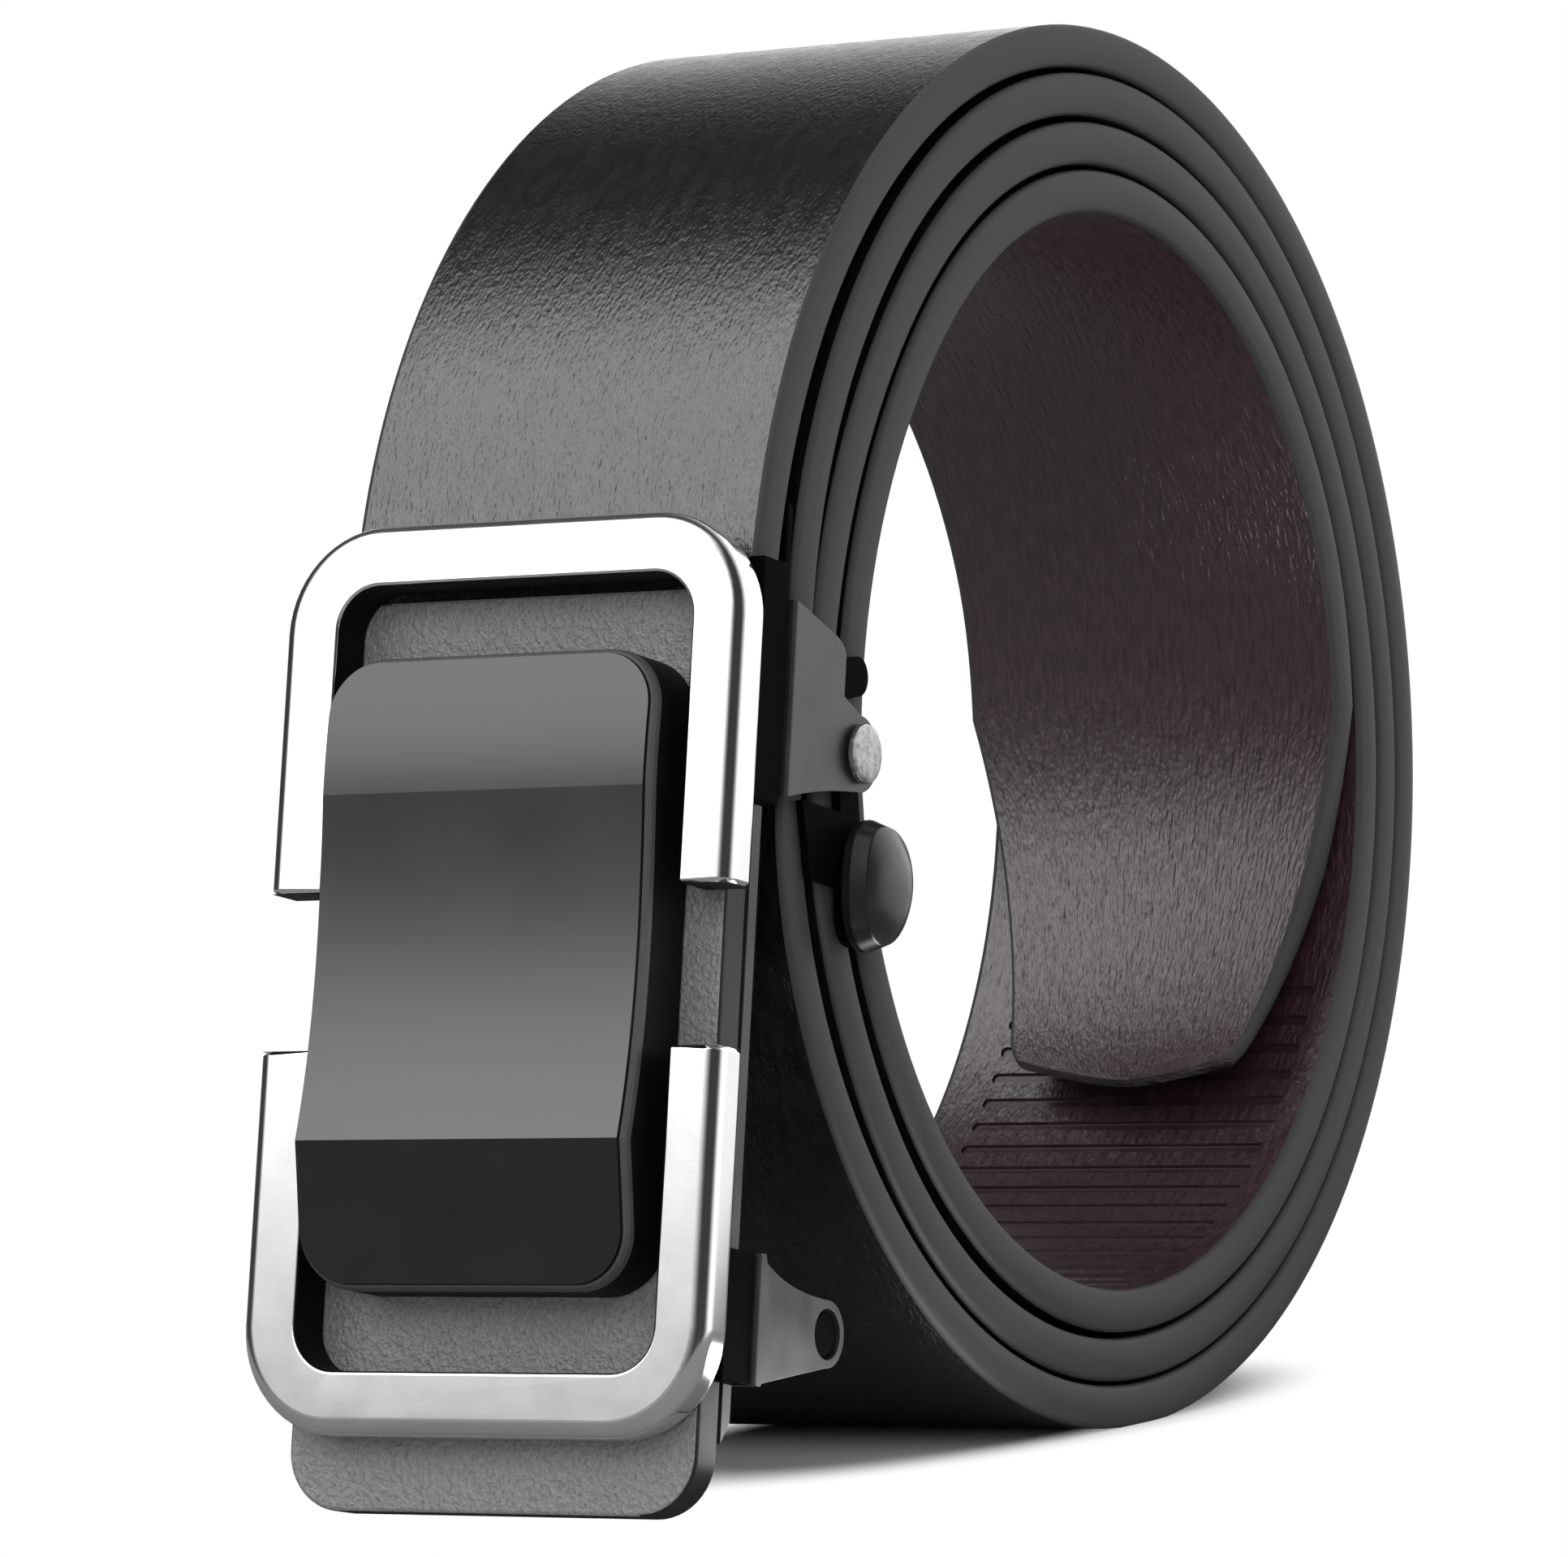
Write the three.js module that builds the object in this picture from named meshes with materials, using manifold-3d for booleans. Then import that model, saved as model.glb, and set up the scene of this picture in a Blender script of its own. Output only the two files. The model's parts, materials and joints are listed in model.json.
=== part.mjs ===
// Ratchet belt, coiled, with its plate buckle. Millimetres, +Z up, the buckle faces -Y.
// The origin is the middle of the flat on which the coil stands.
import * as THREE from 'three';
import { mergeVertices } from 'three/addons/utils/BufferGeometryUtils.js';
import Module from 'manifold-3d';

// Strap and coil
const strapWidth = 35;
const strapThickness = 3.4;
const strapEdgeRound = 0.9;
const layerGap = 0.3;
const coilHeight = 111.7;
const coilDepth = 114.2;
const restFlat = 8;
const stepAngle = 5;
const clampedThickness = 2.6;
const skiveLength = 7;
const skiveKnee = 0.4;

// Tail of the strap and its ratchet track
const tailTaper = 36;
const tailTipWidth = 16;
const tailTipRound = 3;
const grooveCount = 24;
const groovePitch = 2.8;
const grooveWidth = 1.1;
const grooveDepth = 0.45;
const grooveLength = 28.4;
const trackLead = 8;

// Gaps between pieces, and how far a cutting shape runs past what it cuts
const seatGap = 0.3;
const runningGap = 0.3;
const cutMargin = 0.1;

// Straight steps that an arc is drawn in
const arcSteps = 16;

// Chromed frame, two halves
const frameWidth = 39.2;
const frameLength = 67.9;
const frameDepth = 3.7;
const frameBar = 4.7;
const frameLeg = 4.0;
const frameOuterRadius = 8;
const frameInnerRadius = 3.4;
const frameEdgeRound = 0.7;
const frameGap = 12.2;
const upperHalfLength = 27.3;
const frameTopRise = 5.7;

// Face plate behind the frame
const facePlateWidth = 34.9;
const facePlateTopInset = 5.2;
const facePlateDrop = 5.3;
const facePlateThickness = 3.0;
const facePlateWall = 1.3;
const facePlateRadius = 4.5;
const clampedLength = 18.2;

// Wave plate on the face plate
const waveWidth = 27.2;
const waveTopInset = 10.5;
const waveBottomInset = 10.5;
const waveRise = 3.1;
const waveCornerRadius = 4.5;

// Base plate with its flanges and ears
const basePlateThickness = 1.2;
const basePlateLead = 0.8;
const flangeThickness = 0.8;
const flangeDrop = 5.5;
const flangeReach = 16.3;
const flangeCorner = 2;
const flangeLobeRadius = 2.9;
const pivotDrop = 15.3;
const pivotDepth = 19.0;
const pivotHoleRadius = 1.7;
const earReach = 18.6;
const earLobeRadius = 2.5;
const keeperRise = 9.3;
const keeperRadius = 1.6;
const baseBottomRise = 0.3;
const baseBottomCut = 1.6;

// Side rails, jaw, pawl
const railThickness = 1.4;
const railWidth = 3.9;
const upperRailLength = 18;
const upperRailDrop = 3;
const lowerRailLength = 9.6;
const lowerRailRise = 4.6;
const jawThickness = 0.8;
const jawTop = 2.5;
const jawLength = 16;
const jawToothLength = 2.4;
const pawlThickness = 1.1;
const pawlLength = 11;
const pawlDrop = 23.5;

// Release lever and rivets
const armThickness = 0.6;
const neckRadius = 1.4;
const neckSetBack = 1.2;
const fingerRadius = 1.1;
const fingerBend = 3;
const blockDepth = 7.4;
const blockTaper = 1.8;
const blockHeight = 5.6;
const blockDrop = 4.4;
const knobThickness = 3.2;
const knobLength = 9.5;
const knobDepth = 6.4;
const knobDrop = 5.1;
const knobSetForward = 0.6;
const stubRadius = 1.5;
const stubRise = 6.1;
const rivetRadius = 1.4;
const rivetHeadRadius = 2.25;
const rivetHeadHeight = 0.55;

// Places worked out from the sizes. Depths run back from the front of the frame.
const layerPitch = strapThickness + layerGap;
const frameHalf = frameWidth / 2;
const strapHalf = strapWidth / 2;
const facePlateHalf = facePlateWidth / 2;
const facePlateFront = frameDepth + seatGap;
const facePlateBack = facePlateFront + facePlateThickness;
const strapFront = facePlateFront + facePlateWall + seatGap;
const upperBaseFront = strapFront + clampedThickness + seatGap;
const upperBaseBack = upperBaseFront + basePlateThickness;
const lowerBaseFront = facePlateBack + seatGap;
const lowerBaseBack = lowerBaseFront + basePlateThickness;
const toothFront = strapFront + strapThickness + seatGap;
const jawSag = (frameTopRise + jawTop) ** 2 / coilDepth;
const jawFront = Math.max(upperBaseBack + seatGap, toothFront + jawSag);
const jawBack = jawFront + jawThickness;
const railFront = frameDepth + seatGap;
const railBack = railFront + railWidth;
const railInner = Math.max(strapHalf, facePlateHalf) + seatGap;
const railOuter = railInner + railThickness;
const armInner = strapHalf + runningGap;
const armOuter = armInner + armThickness;
const flangeInner = armOuter + runningGap;
const flangeOuter = flangeInner + flangeThickness;
const frameTop = frameTopRise;
const frameBottom = frameTop - frameLength;
const strapEnd = frameTop - clampedLength;
const upperRailTop = frameTop - upperRailDrop;
const skiveUp = upperRailTop - skiveLength;
const facePlateBottom = frameBottom - facePlateDrop;
const pivotUp = frameTop - pivotDrop;
const keeperUp = frameBottom + keeperRise;
const lowerRailTop = frameBottom + lowerRailRise + lowerRailLength;
const clampLead = 0.2;
const standoff = coilDepth / 2 + clampLead * layerPitch + strapFront;
const clampBulge = (coilDepth / 2 - standoff + jawBack + seatGap) / layerPitch - 1;

// How far each stretch of the coil lies inside the outermost turn: whole layers, plus shares of
// the bulge that the clamp behind the buckle presses into the turns. The turn starts at the buckle
// and runs over the top.
const coilRows = [
  { turn: 4, layers: -clampLead, bulge: 0 },
  { turn: 40, layers: 0, bulge: 0 },
  { turn: 82, layers: 0, bulge: 0 },
  { turn: 175, layers: 0, bulge: 0 },
  { turn: 270, layers: 0, bulge: 0 },
  { turn: 318, layers: 0.12, bulge: 0 },
  { turn: 333, layers: 0.27, bulge: 0.1 },
  { turn: 343, layers: 0.5, bulge: 0.4 },
  { turn: 350, layers: 0.8, bulge: 0.95 },
  { turn: 358, layers: 1, bulge: 1 },
  { turn: 368, layers: 1, bulge: 1.15 },
  { turn: 394, layers: 1, bulge: 1.15 },
  { turn: 442, layers: 1, bulge: 0.05 },
  { turn: 530, layers: 1, bulge: 0 },
  { turn: 622, layers: 1, bulge: 0 },
  { turn: 660, layers: 1.1, bulge: 0.25 },
  { turn: 696, layers: 1.5, bulge: 0.9 },
  { turn: 726, layers: 2, bulge: 1.5 },
  { turn: 752, layers: 2, bulge: 2.1 },
  { turn: 802, layers: 2, bulge: 0.2 },
  { turn: 890, layers: 2, bulge: 0.05 },
  { turn: 978, layers: 2, bulge: 0.1 },
  { turn: 1018, layers: 2.12, bulge: 1.05 },
  { turn: 1047, layers: 2.4, bulge: 1.8 },
  { turn: 1086, layers: 3, bulge: 2.2 },
  { turn: 1112, layers: 3, bulge: 2.55 },
  { turn: 1162, layers: 3, bulge: 0.3 },
  { turn: 1230, layers: 3, bulge: 0.15 },
  { turn: 1250, layers: 3.1, bulge: 0.35 },
  { turn: 1293, layers: 3.2, bulge: 0.35 },
];

// Front of the wave plate: where along its length, and which share of its rise.
const waveRows = [
  { along: 0.0, rise: 0.35 },
  { along: 0.06, rise: 0.53 },
  { along: 0.14, rise: 0.68 },
  { along: 0.22, rise: 0.84 },
  { along: 0.31, rise: 0.68 },
  { along: 0.4, rise: 0.52 },
  { along: 0.5, rise: 0.45 },
  { along: 0.6, rise: 0.52 },
  { along: 0.69, rise: 0.72 },
  { along: 0.77, rise: 1.0 },
  { along: 0.84, rise: 0.7 },
  { along: 0.92, rise: 0.55 },
  { along: 1.0, rise: 0.35 },
];

// Corners of the knob's outline, as shares of its depth and of its length down from its top.
const knobRows = [
  { depth: 0, down: 0.2 },
  { depth: 0.45, down: 0 },
  { depth: 1, down: 0.32 },
  { depth: 0.85, down: 0.7 },
  { depth: 0.4, down: 1 },
  { depth: 0, down: 0.88 },
];

// Where the stations of the rounded tail tip lie, as shares of its rounding.
const tipShares = [1, 0.7, 0.45, 0.25, 0.1, 0];

const wasm = await Module();
wasm.setup();

function toSolid(geometry) {
  const bare = geometry.clone();
  bare.deleteAttribute('normal');
  bare.deleteAttribute('uv');
  const merged = mergeVertices(bare, 1e-4);
  return new wasm.Manifold(new wasm.Mesh({
    numProp: 3,
    vertProperties: new Float32Array(merged.attributes.position.array),
    triVerts: new Uint32Array(merged.index.array),
  }));
}

function toGeometry(solid) {
  const mesh = solid.getMesh();
  const geometry = new THREE.BufferGeometry();
  geometry.setAttribute('position', new THREE.BufferAttribute(new Float32Array(mesh.vertProperties), 3));
  geometry.setIndex(new THREE.BufferAttribute(new Uint32Array(mesh.triVerts), 1));
  geometry.computeVertexNormals();
  return geometry;
}

// A point of the buckle's own frame: depth behind the frame's front, height above the coil's centre.
function spot(depth, up) {
  return new THREE.Vector2(depth - standoff, up);
}

// A side outline of (depth, up) points pulled across the belt from one x to another.
function sidePrism(shape, xFrom, xTo) {
  const geometry = new THREE.ExtrudeGeometry(shape, {
    depth: xTo - xFrom,
    bevelEnabled: false,
    curveSegments: arcSteps,
  });
  geometry.applyMatrix4(new THREE.Matrix4().makeBasis(
    new THREE.Vector3(0, 1, 0),
    new THREE.Vector3(0, 0, 1),
    new THREE.Vector3(1, 0, 0),
  ));
  geometry.translate(xFrom, 0, 0);
  return geometry;
}

function sideShape(points) {
  return new THREE.Shape(points.map(([depth, up]) => spot(depth, up)));
}

function sideDisc(depth, up, radius) {
  const centre = spot(depth, up);
  const shape = new THREE.Shape();
  shape.absarc(centre.x, centre.y, radius, 0, 2 * Math.PI, false);
  return shape;
}

// A front outline of (x, up) points pulled from one depth to another, with its edges eased.
function frontPrism(shape, depthFrom, depthTo, ease = 0) {
  const geometry = new THREE.ExtrudeGeometry(shape, {
    depth: depthTo - depthFrom - 2 * ease,
    bevelEnabled: ease > 0,
    bevelThickness: ease,
    bevelSize: ease,
    bevelOffset: -ease,
    bevelSegments: 2,
    curveSegments: 6,
  });
  geometry.rotateX(Math.PI / 2);
  geometry.translate(0, depthTo - ease - standoff, 0);
  return geometry;
}

function roundedRectangle(halfWidth, bottom, top, radius) {
  const shape = new THREE.Shape();
  shape.moveTo(-halfWidth + radius, bottom);
  shape.lineTo(halfWidth - radius, bottom);
  shape.absarc(halfWidth - radius, bottom + radius, radius, -Math.PI / 2, 0, false);
  shape.lineTo(halfWidth, top - radius);
  shape.absarc(halfWidth - radius, top - radius, radius, 0, Math.PI / 2, false);
  shape.lineTo(-halfWidth + radius, top);
  shape.absarc(-halfWidth + radius, top - radius, radius, Math.PI / 2, Math.PI, false);
  shape.lineTo(-halfWidth, bottom + radius);
  shape.absarc(-halfWidth + radius, bottom + radius, radius, Math.PI, 1.5 * Math.PI, false);
  return shape;
}

function coilRadius(turn) {
  const angle = THREE.MathUtils.degToRad(turn);
  return 1 / Math.hypot(Math.cos(angle) / (coilDepth / 2), Math.sin(angle) / (coilHeight / 2));
}

function inset(row) {
  return (row.layers + row.bulge * clampBulge) * layerPitch;
}

function slope(index) {
  const before = coilRows[Math.max(index - 1, 0)];
  const after = coilRows[Math.min(index + 1, coilRows.length - 1)];
  return (inset(after) - inset(before)) / (after.turn - before.turn);
}

// The inset at any turn, on a smooth curve through the rows.
function insetAt(turn) {
  const last = coilRows.length - 2;
  const index = Math.min(Math.max(coilRows.findIndex((row) => row.turn >= turn) - 1, 0), last);
  const from = coilRows[index];
  const to = coilRows[index + 1];
  const span = to.turn - from.turn;
  const t = (turn - from.turn) / span;
  const held = 2 * t ** 3 - 3 * t ** 2 + 1;
  return held * inset(from) + (1 - held) * inset(to)
    + (t ** 3 - 2 * t ** 2 + t) * span * slope(index)
    + (t ** 3 - t ** 2) * span * slope(index + 1);
}

// The lean at which the coil and the lowest corner of the face plate stand on one level surface.
function standing() {
  const drop = (lean) => {
    const bottom = Math.hypot(Math.sin(lean) * coilDepth / 2, Math.cos(lean) * coilHeight / 2);
    const corner = spot(facePlateBack, facePlateBottom);
    const level = bottom - restFlat ** 2 / (8 * bottom);
    return { level, miss: corner.y * Math.cos(lean) - corner.x * Math.sin(lean) + level };
  };
  let low = 0;
  let high = Math.PI / 4;
  for (let round = 0; round < 50; round += 1) {
    const middle = (low + high) / 2;
    if (drop(middle).miss < 0) {
      low = middle;
    } else {
      high = middle;
    }
  }
  const lean = high;
  const reach = (coilDepth ** 2 - coilHeight ** 2) / 8 * Math.sin(2 * lean);
  return { lean, level: drop(lean).level, footY: reach / drop(lean).level };
}

const stance = standing();

// Keeps a point of the outermost turn above the surface on which the coil stands.
function aboveFloor(point) {
  const up = point.y * Math.cos(stance.lean) - point.x * Math.sin(stance.lean);
  const lift = Math.max(-stance.level - up, 0);
  return new THREE.Vector2(point.x - lift * Math.sin(stance.lean), point.y + lift * Math.cos(stance.lean));
}

function coilPoint(turn, depthInLayer) {
  const angle = THREE.MathUtils.degToRad(turn);
  const radius = coilRadius(turn) - insetAt(turn) - depthInLayer;
  return new THREE.Vector2(-Math.cos(angle) * radius, Math.sin(angle) * radius);
}

function tailHalfWidth(lengthLeft) {
  const straight = strapHalf - (strapHalf - tailTipWidth / 2) * Math.max(1 - lengthLeft / tailTaper, 0);
  const within = Math.max(tailTipRound - lengthLeft, 0);
  const rounding = tailTipRound - Math.sqrt(Math.max(tailTipRound ** 2 - within ** 2, 0));
  return straight - rounding;
}

// Stations along the strap: its outer and inner point in the side view, and its half width.
function strapStations() {
  const stations = [];
  const clamped = [
    { up: strapEnd, thickness: clampedThickness },
    { up: skiveUp, thickness: clampedThickness },
    { up: skiveUp + skiveLength * (1 - skiveKnee), thickness: (clampedThickness + strapThickness) / 2 },
  ];
  for (const { up, thickness } of clamped) {
    stations.push({ outer: spot(strapFront, up), inner: spot(strapFront + thickness, up), half: strapHalf });
  }
  const firstTurn = coilRows[0].turn;
  const lastTurn = coilRows[coilRows.length - 1].turn;
  const degreeLength = THREE.MathUtils.degToRad(1) * (coilRadius(lastTurn) - insetAt(lastTurn));
  const turns = [];
  for (let turn = firstTurn; turn < lastTurn - stepAngle; turn += stepAngle) {
    turns.push(turn);
  }
  for (const share of tipShares) {
    turns.push(lastTurn - share * tailTipRound / degreeLength);
  }
  for (const turn of turns) {
    stations.push({
      outer: aboveFloor(coilPoint(turn, 0)),
      inner: coilPoint(turn, strapThickness),
      half: tailHalfWidth((lastTurn - turn) * degreeLength),
    });
  }
  return stations;
}

// A closed band through the stations, with eased edges.
function band(stations) {
  const positions = [];
  const indices = [];
  for (const { outer, inner, half } of stations) {
    const thickness = outer.distanceTo(inner);
    const ease = strapEdgeRound / thickness;
    const ring = [
      [-half + strapEdgeRound, 0],
      [half - strapEdgeRound, 0],
      [half, ease],
      [half, 1 - ease],
      [half - strapEdgeRound, 1],
      [-half + strapEdgeRound, 1],
      [-half, 1 - ease],
      [-half, ease],
    ];
    for (const [x, share] of ring) {
      const point = outer.clone().lerp(inner, share);
      positions.push(x, point.x, point.y);
    }
  }
  const sides = 8;
  for (let station = 0; station + 1 < stations.length; station += 1) {
    for (let side = 0; side < sides; side += 1) {
      const a = station * sides + side;
      const b = station * sides + (side + 1) % sides;
      indices.push(a, b, a + sides, b, b + sides, a + sides);
    }
  }
  const end = (stations.length - 1) * sides;
  for (let side = 1; side + 1 < sides; side += 1) {
    indices.push(0, side + 1, side);
    indices.push(end, end + side, end + side + 1);
  }
  const geometry = new THREE.BufferGeometry();
  geometry.setAttribute('position', new THREE.Float32BufferAttribute(positions, 3));
  geometry.setIndex(indices);
  return geometry;
}

// One groove of the ratchet track: a shallow bar with rounded ends, sunk in the lining.
function groove(turn) {
  const shape = new THREE.Shape();
  const reach = grooveLength / 2 - grooveWidth / 2;
  shape.absarc(reach, 0, grooveWidth / 2, -Math.PI / 2, Math.PI / 2, false);
  shape.absarc(-reach, 0, grooveWidth / 2, Math.PI / 2, 1.5 * Math.PI, false);
  const geometry = new THREE.ExtrudeGeometry(shape, {
    depth: 2 * grooveDepth,
    bevelEnabled: false,
    curveSegments: 3,
  });
  geometry.translate(0, 0, -grooveDepth);
  geometry.rotateX(Math.PI / 2);
  geometry.rotateX(-THREE.MathUtils.degToRad(turn));
  const floor = coilPoint(turn, strapThickness);
  geometry.translate(0, floor.x, floor.y);
  return geometry;
}

function makeStrap() {
  let strap = toSolid(band(strapStations()));
  const tipTurn = coilRows[coilRows.length - 1].turn;
  const tipRadius = coilRadius(tipTurn) - insetAt(tipTurn);
  const trackTurn = tipTurn - 360 - THREE.MathUtils.radToDeg(trackLead / tipRadius);
  const radius = coilRadius(trackTurn) - insetAt(trackTurn) - strapThickness;
  for (let index = 0; index < grooveCount; index += 1) {
    const turn = trackTurn + THREE.MathUtils.radToDeg(index * groovePitch / radius);
    strap = strap.subtract(toSolid(groove(turn)));
  }
  return toGeometry(strap);
}

// One half of the frame: a bar with two legs, seen from the front, with the bar at the top.
function frameHalfShape(legLength) {
  const inner = frameHalf - frameLeg;
  const bend = inner - frameInnerRadius;
  const bendUp = -frameBar - frameInnerRadius;
  const shape = new THREE.Shape();
  shape.moveTo(-frameHalf, -legLength);
  shape.lineTo(-inner, -legLength);
  shape.lineTo(-inner, bendUp);
  shape.absarc(-bend, bendUp, frameInnerRadius, Math.PI, Math.PI / 2, true);
  shape.lineTo(bend, -frameBar);
  shape.absarc(bend, bendUp, frameInnerRadius, Math.PI / 2, 0, true);
  shape.lineTo(inner, -legLength);
  shape.lineTo(frameHalf, -legLength);
  const corner = frameHalf - frameOuterRadius;
  shape.lineTo(frameHalf, -frameOuterRadius);
  shape.absarc(corner, -frameOuterRadius, frameOuterRadius, 0, Math.PI / 2, false);
  shape.lineTo(-corner, 0);
  shape.absarc(-corner, -frameOuterRadius, frameOuterRadius, Math.PI / 2, Math.PI, false);
  return shape;
}

function makeFrameUpper() {
  const geometry = frontPrism(frameHalfShape(upperHalfLength), 0, frameDepth, frameEdgeRound);
  geometry.translate(0, 0, frameTop);
  return geometry;
}

function makeFrameLower() {
  const legLength = frameLength - upperHalfLength - frameGap;
  const geometry = frontPrism(frameHalfShape(legLength), 0, frameDepth, frameEdgeRound);
  geometry.translate(0, standoff, 0);
  geometry.rotateY(Math.PI);
  geometry.translate(0, -standoff, frameBottom);
  return geometry;
}

function makeFacePlate() {
  const top = frameTop - facePlateTopInset;
  const step = strapEnd - seatGap;
  const profile = sideShape([
    [facePlateFront, facePlateBottom],
    [facePlateBack, facePlateBottom],
    [facePlateBack, step],
    [facePlateFront + facePlateWall, step],
    [facePlateFront + facePlateWall, top],
    [facePlateFront, top],
  ]);
  const outline = roundedRectangle(facePlateHalf, facePlateBottom, top, facePlateRadius);
  const plate = toSolid(sidePrism(profile, -facePlateHalf, facePlateHalf));
  return toGeometry(plate.intersect(toSolid(frontPrism(outline, 0, 2 * facePlateBack))));
}

function makeWavePlate() {
  const top = frameTop - waveTopInset;
  const bottom = frameBottom + waveBottomInset;
  const back = facePlateFront - seatGap;
  const front = waveRows.map((row) => [-waveRise * row.rise, top - (top - bottom) * row.along]);
  const profile = sideShape([[back, top], ...front, [back, bottom]]);
  const outline = roundedRectangle(waveWidth / 2, bottom, top, waveCornerRadius);
  const plate = toSolid(sidePrism(profile, -waveWidth / 2, waveWidth / 2));
  return toGeometry(plate.intersect(toSolid(frontPrism(outline, -2 * waveRise, 2 * back))));
}

// The upper flange: a sheet beside the turns that carries the lever's rivet.
function flangeShape() {
  const top = frameTop - flangeDrop;
  const root = pivotUp - flangeLobeRadius;
  const pivot = spot(pivotDepth, pivotUp);
  const shape = new THREE.Shape();
  const start = spot(upperBaseFront, root - flangeCorner);
  shape.moveTo(start.x, start.y);
  const hollow = spot((upperBaseFront + pivotDepth) / 2, root - flangeCorner / 4);
  const lobeStart = spot(pivotDepth, root);
  shape.quadraticCurveTo(hollow.x, hollow.y, lobeStart.x, lobeStart.y);
  shape.absarc(pivot.x, pivot.y, flangeLobeRadius, -Math.PI / 2, Math.PI / 2, false);
  const edge = spot(flangeReach, pivotUp + flangeLobeRadius + flangeCorner / 2);
  shape.lineTo(edge.x, edge.y);
  const shoulder = spot(flangeReach, top - 1.5 * flangeCorner);
  shape.lineTo(shoulder.x, shoulder.y);
  const peak = spot(flangeReach - flangeCorner, top - 0.75 * flangeCorner);
  shape.quadraticCurveTo(shoulder.x, shoulder.y + flangeCorner / 2, peak.x, peak.y);
  const rootTop = spot(upperBaseFront, top);
  shape.lineTo(rootTop.x, rootTop.y);
  return shape;
}

// The lower ear, which holds the keeper pin.
function earShape() {
  const top = lowerRailTop;
  const bottom = top - lowerRailLength;
  const root = railBack + seatGap;
  const keeper = spot(earReach, keeperUp);
  const shape = new THREE.Shape();
  const start = spot(root, bottom);
  shape.moveTo(start.x, start.y);
  const lobeStart = spot(earReach, keeperUp - earLobeRadius);
  shape.lineTo(lobeStart.x, lobeStart.y);
  shape.absarc(keeper.x, keeper.y, earLobeRadius, -Math.PI / 2, Math.PI / 2, false);
  const hollow = spot(root + (earReach - root) / 3, keeperUp + earLobeRadius);
  const rootTop = spot(root, top);
  shape.quadraticCurveTo(hollow.x, hollow.y, rootTop.x, rootTop.y);
  return shape;
}

function boxBetween(x, depth, up) {
  const geometry = new THREE.BoxGeometry(x[1] - x[0], depth[1] - depth[0], up[1] - up[0]);
  geometry.translate((x[0] + x[1]) / 2, (depth[0] + depth[1]) / 2 - standoff, (up[0] + up[1]) / 2);
  return geometry;
}

function makeBasePlate() {
  const half = Math.min(facePlateHalf, strapHalf);
  const top = skiveUp + basePlateLead;
  const bottom = frameBottom + baseBottomRise;
  const joggle = strapEnd - seatGap;
  const drop = upperBaseFront - lowerBaseFront;
  const profile = sideShape([
    [upperBaseFront, top],
    [upperBaseFront, joggle],
    [lowerBaseFront, joggle - drop - seatGap],
    [lowerBaseFront, bottom],
    [lowerBaseBack, bottom + baseBottomCut],
    [lowerBaseBack, joggle - drop - seatGap - basePlateThickness / 2],
    [upperBaseBack, joggle - basePlateThickness / 2],
    [upperBaseBack, top],
  ]);
  let plate = toSolid(sidePrism(profile, -half, half));
  const flange = flangeShape();
  const ear = earShape();
  const webBottom = pivotUp - flangeLobeRadius - flangeCorner / 2;
  const pivotHole = sideDisc(pivotDepth, pivotUp, pivotHoleRadius);
  const keeperHole = sideDisc(earReach, keeperUp, keeperRadius + seatGap);
  for (const side of [-1, 1]) {
    const from = side > 0 ? flangeInner : -flangeOuter;
    const to = side > 0 ? flangeOuter : -flangeInner;
    const web = side > 0 ? [half - flangeThickness, flangeOuter] : [-flangeOuter, -half + flangeThickness];
    const upperWeb = boxBetween(web, [upperBaseFront, upperBaseBack], [webBottom, top]);
    const lowerWeb = boxBetween(
      web,
      [railBack + seatGap, Math.max(lowerBaseBack, railBack + seatGap) + flangeThickness],
      [lowerRailTop - lowerRailLength, lowerRailTop],
    );
    plate = plate
      .add(toSolid(upperWeb))
      .add(toSolid(lowerWeb))
      .add(toSolid(sidePrism(flange, from, to)))
      .add(toSolid(sidePrism(ear, from, to)))
      .subtract(toSolid(sidePrism(pivotHole, from - cutMargin, to + cutMargin)))
      .subtract(toSolid(sidePrism(keeperHole, from - cutMargin, to + cutMargin)));
  }
  return toGeometry(plate);
}

function makeRail(side, top, length) {
  const x = side > 0 ? [railInner, railOuter] : [-railOuter, -railInner];
  return boxBetween(x, [railFront, railBack], [top - length, top]);
}

function makeJaw() {
  const top = frameTop + jawTop;
  const toothTop = upperRailTop;
  const toothBottom = toothTop - jawToothLength;
  const profile = sideShape([
    [jawFront, top - jawLength],
    [jawBack, top - jawLength],
    [jawBack, top - jawThickness],
    [jawFront, top],
    [jawFront, toothTop + jawThickness / 2],
    [toothFront, toothTop],
    [toothFront, toothBottom],
    [jawFront, toothBottom - jawThickness / 2],
  ]);
  return sidePrism(profile, -strapHalf, strapHalf);
}

function makePawl() {
  const top = frameTop - pawlDrop;
  return boxBetween(
    [-strapHalf + 2 * seatGap, strapHalf - 2 * seatGap],
    [lowerBaseBack + seatGap, lowerBaseBack + seatGap + pawlThickness],
    [top - pawlLength, top],
  );
}

// A flat bar between two spots, with round ends, lying beside the strap.
function link(from, to, radius, xFrom, xTo) {
  const a = spot(...from);
  const b = spot(...to);
  const angle = Math.atan2(b.y - a.y, b.x - a.x);
  const shape = new THREE.Shape();
  shape.absarc(a.x, a.y, radius, angle + Math.PI / 2, angle + 1.5 * Math.PI, false);
  shape.absarc(b.x, b.y, radius, angle - Math.PI / 2, angle + Math.PI / 2, false);
  return toSolid(sidePrism(shape, xFrom, xTo));
}

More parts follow.
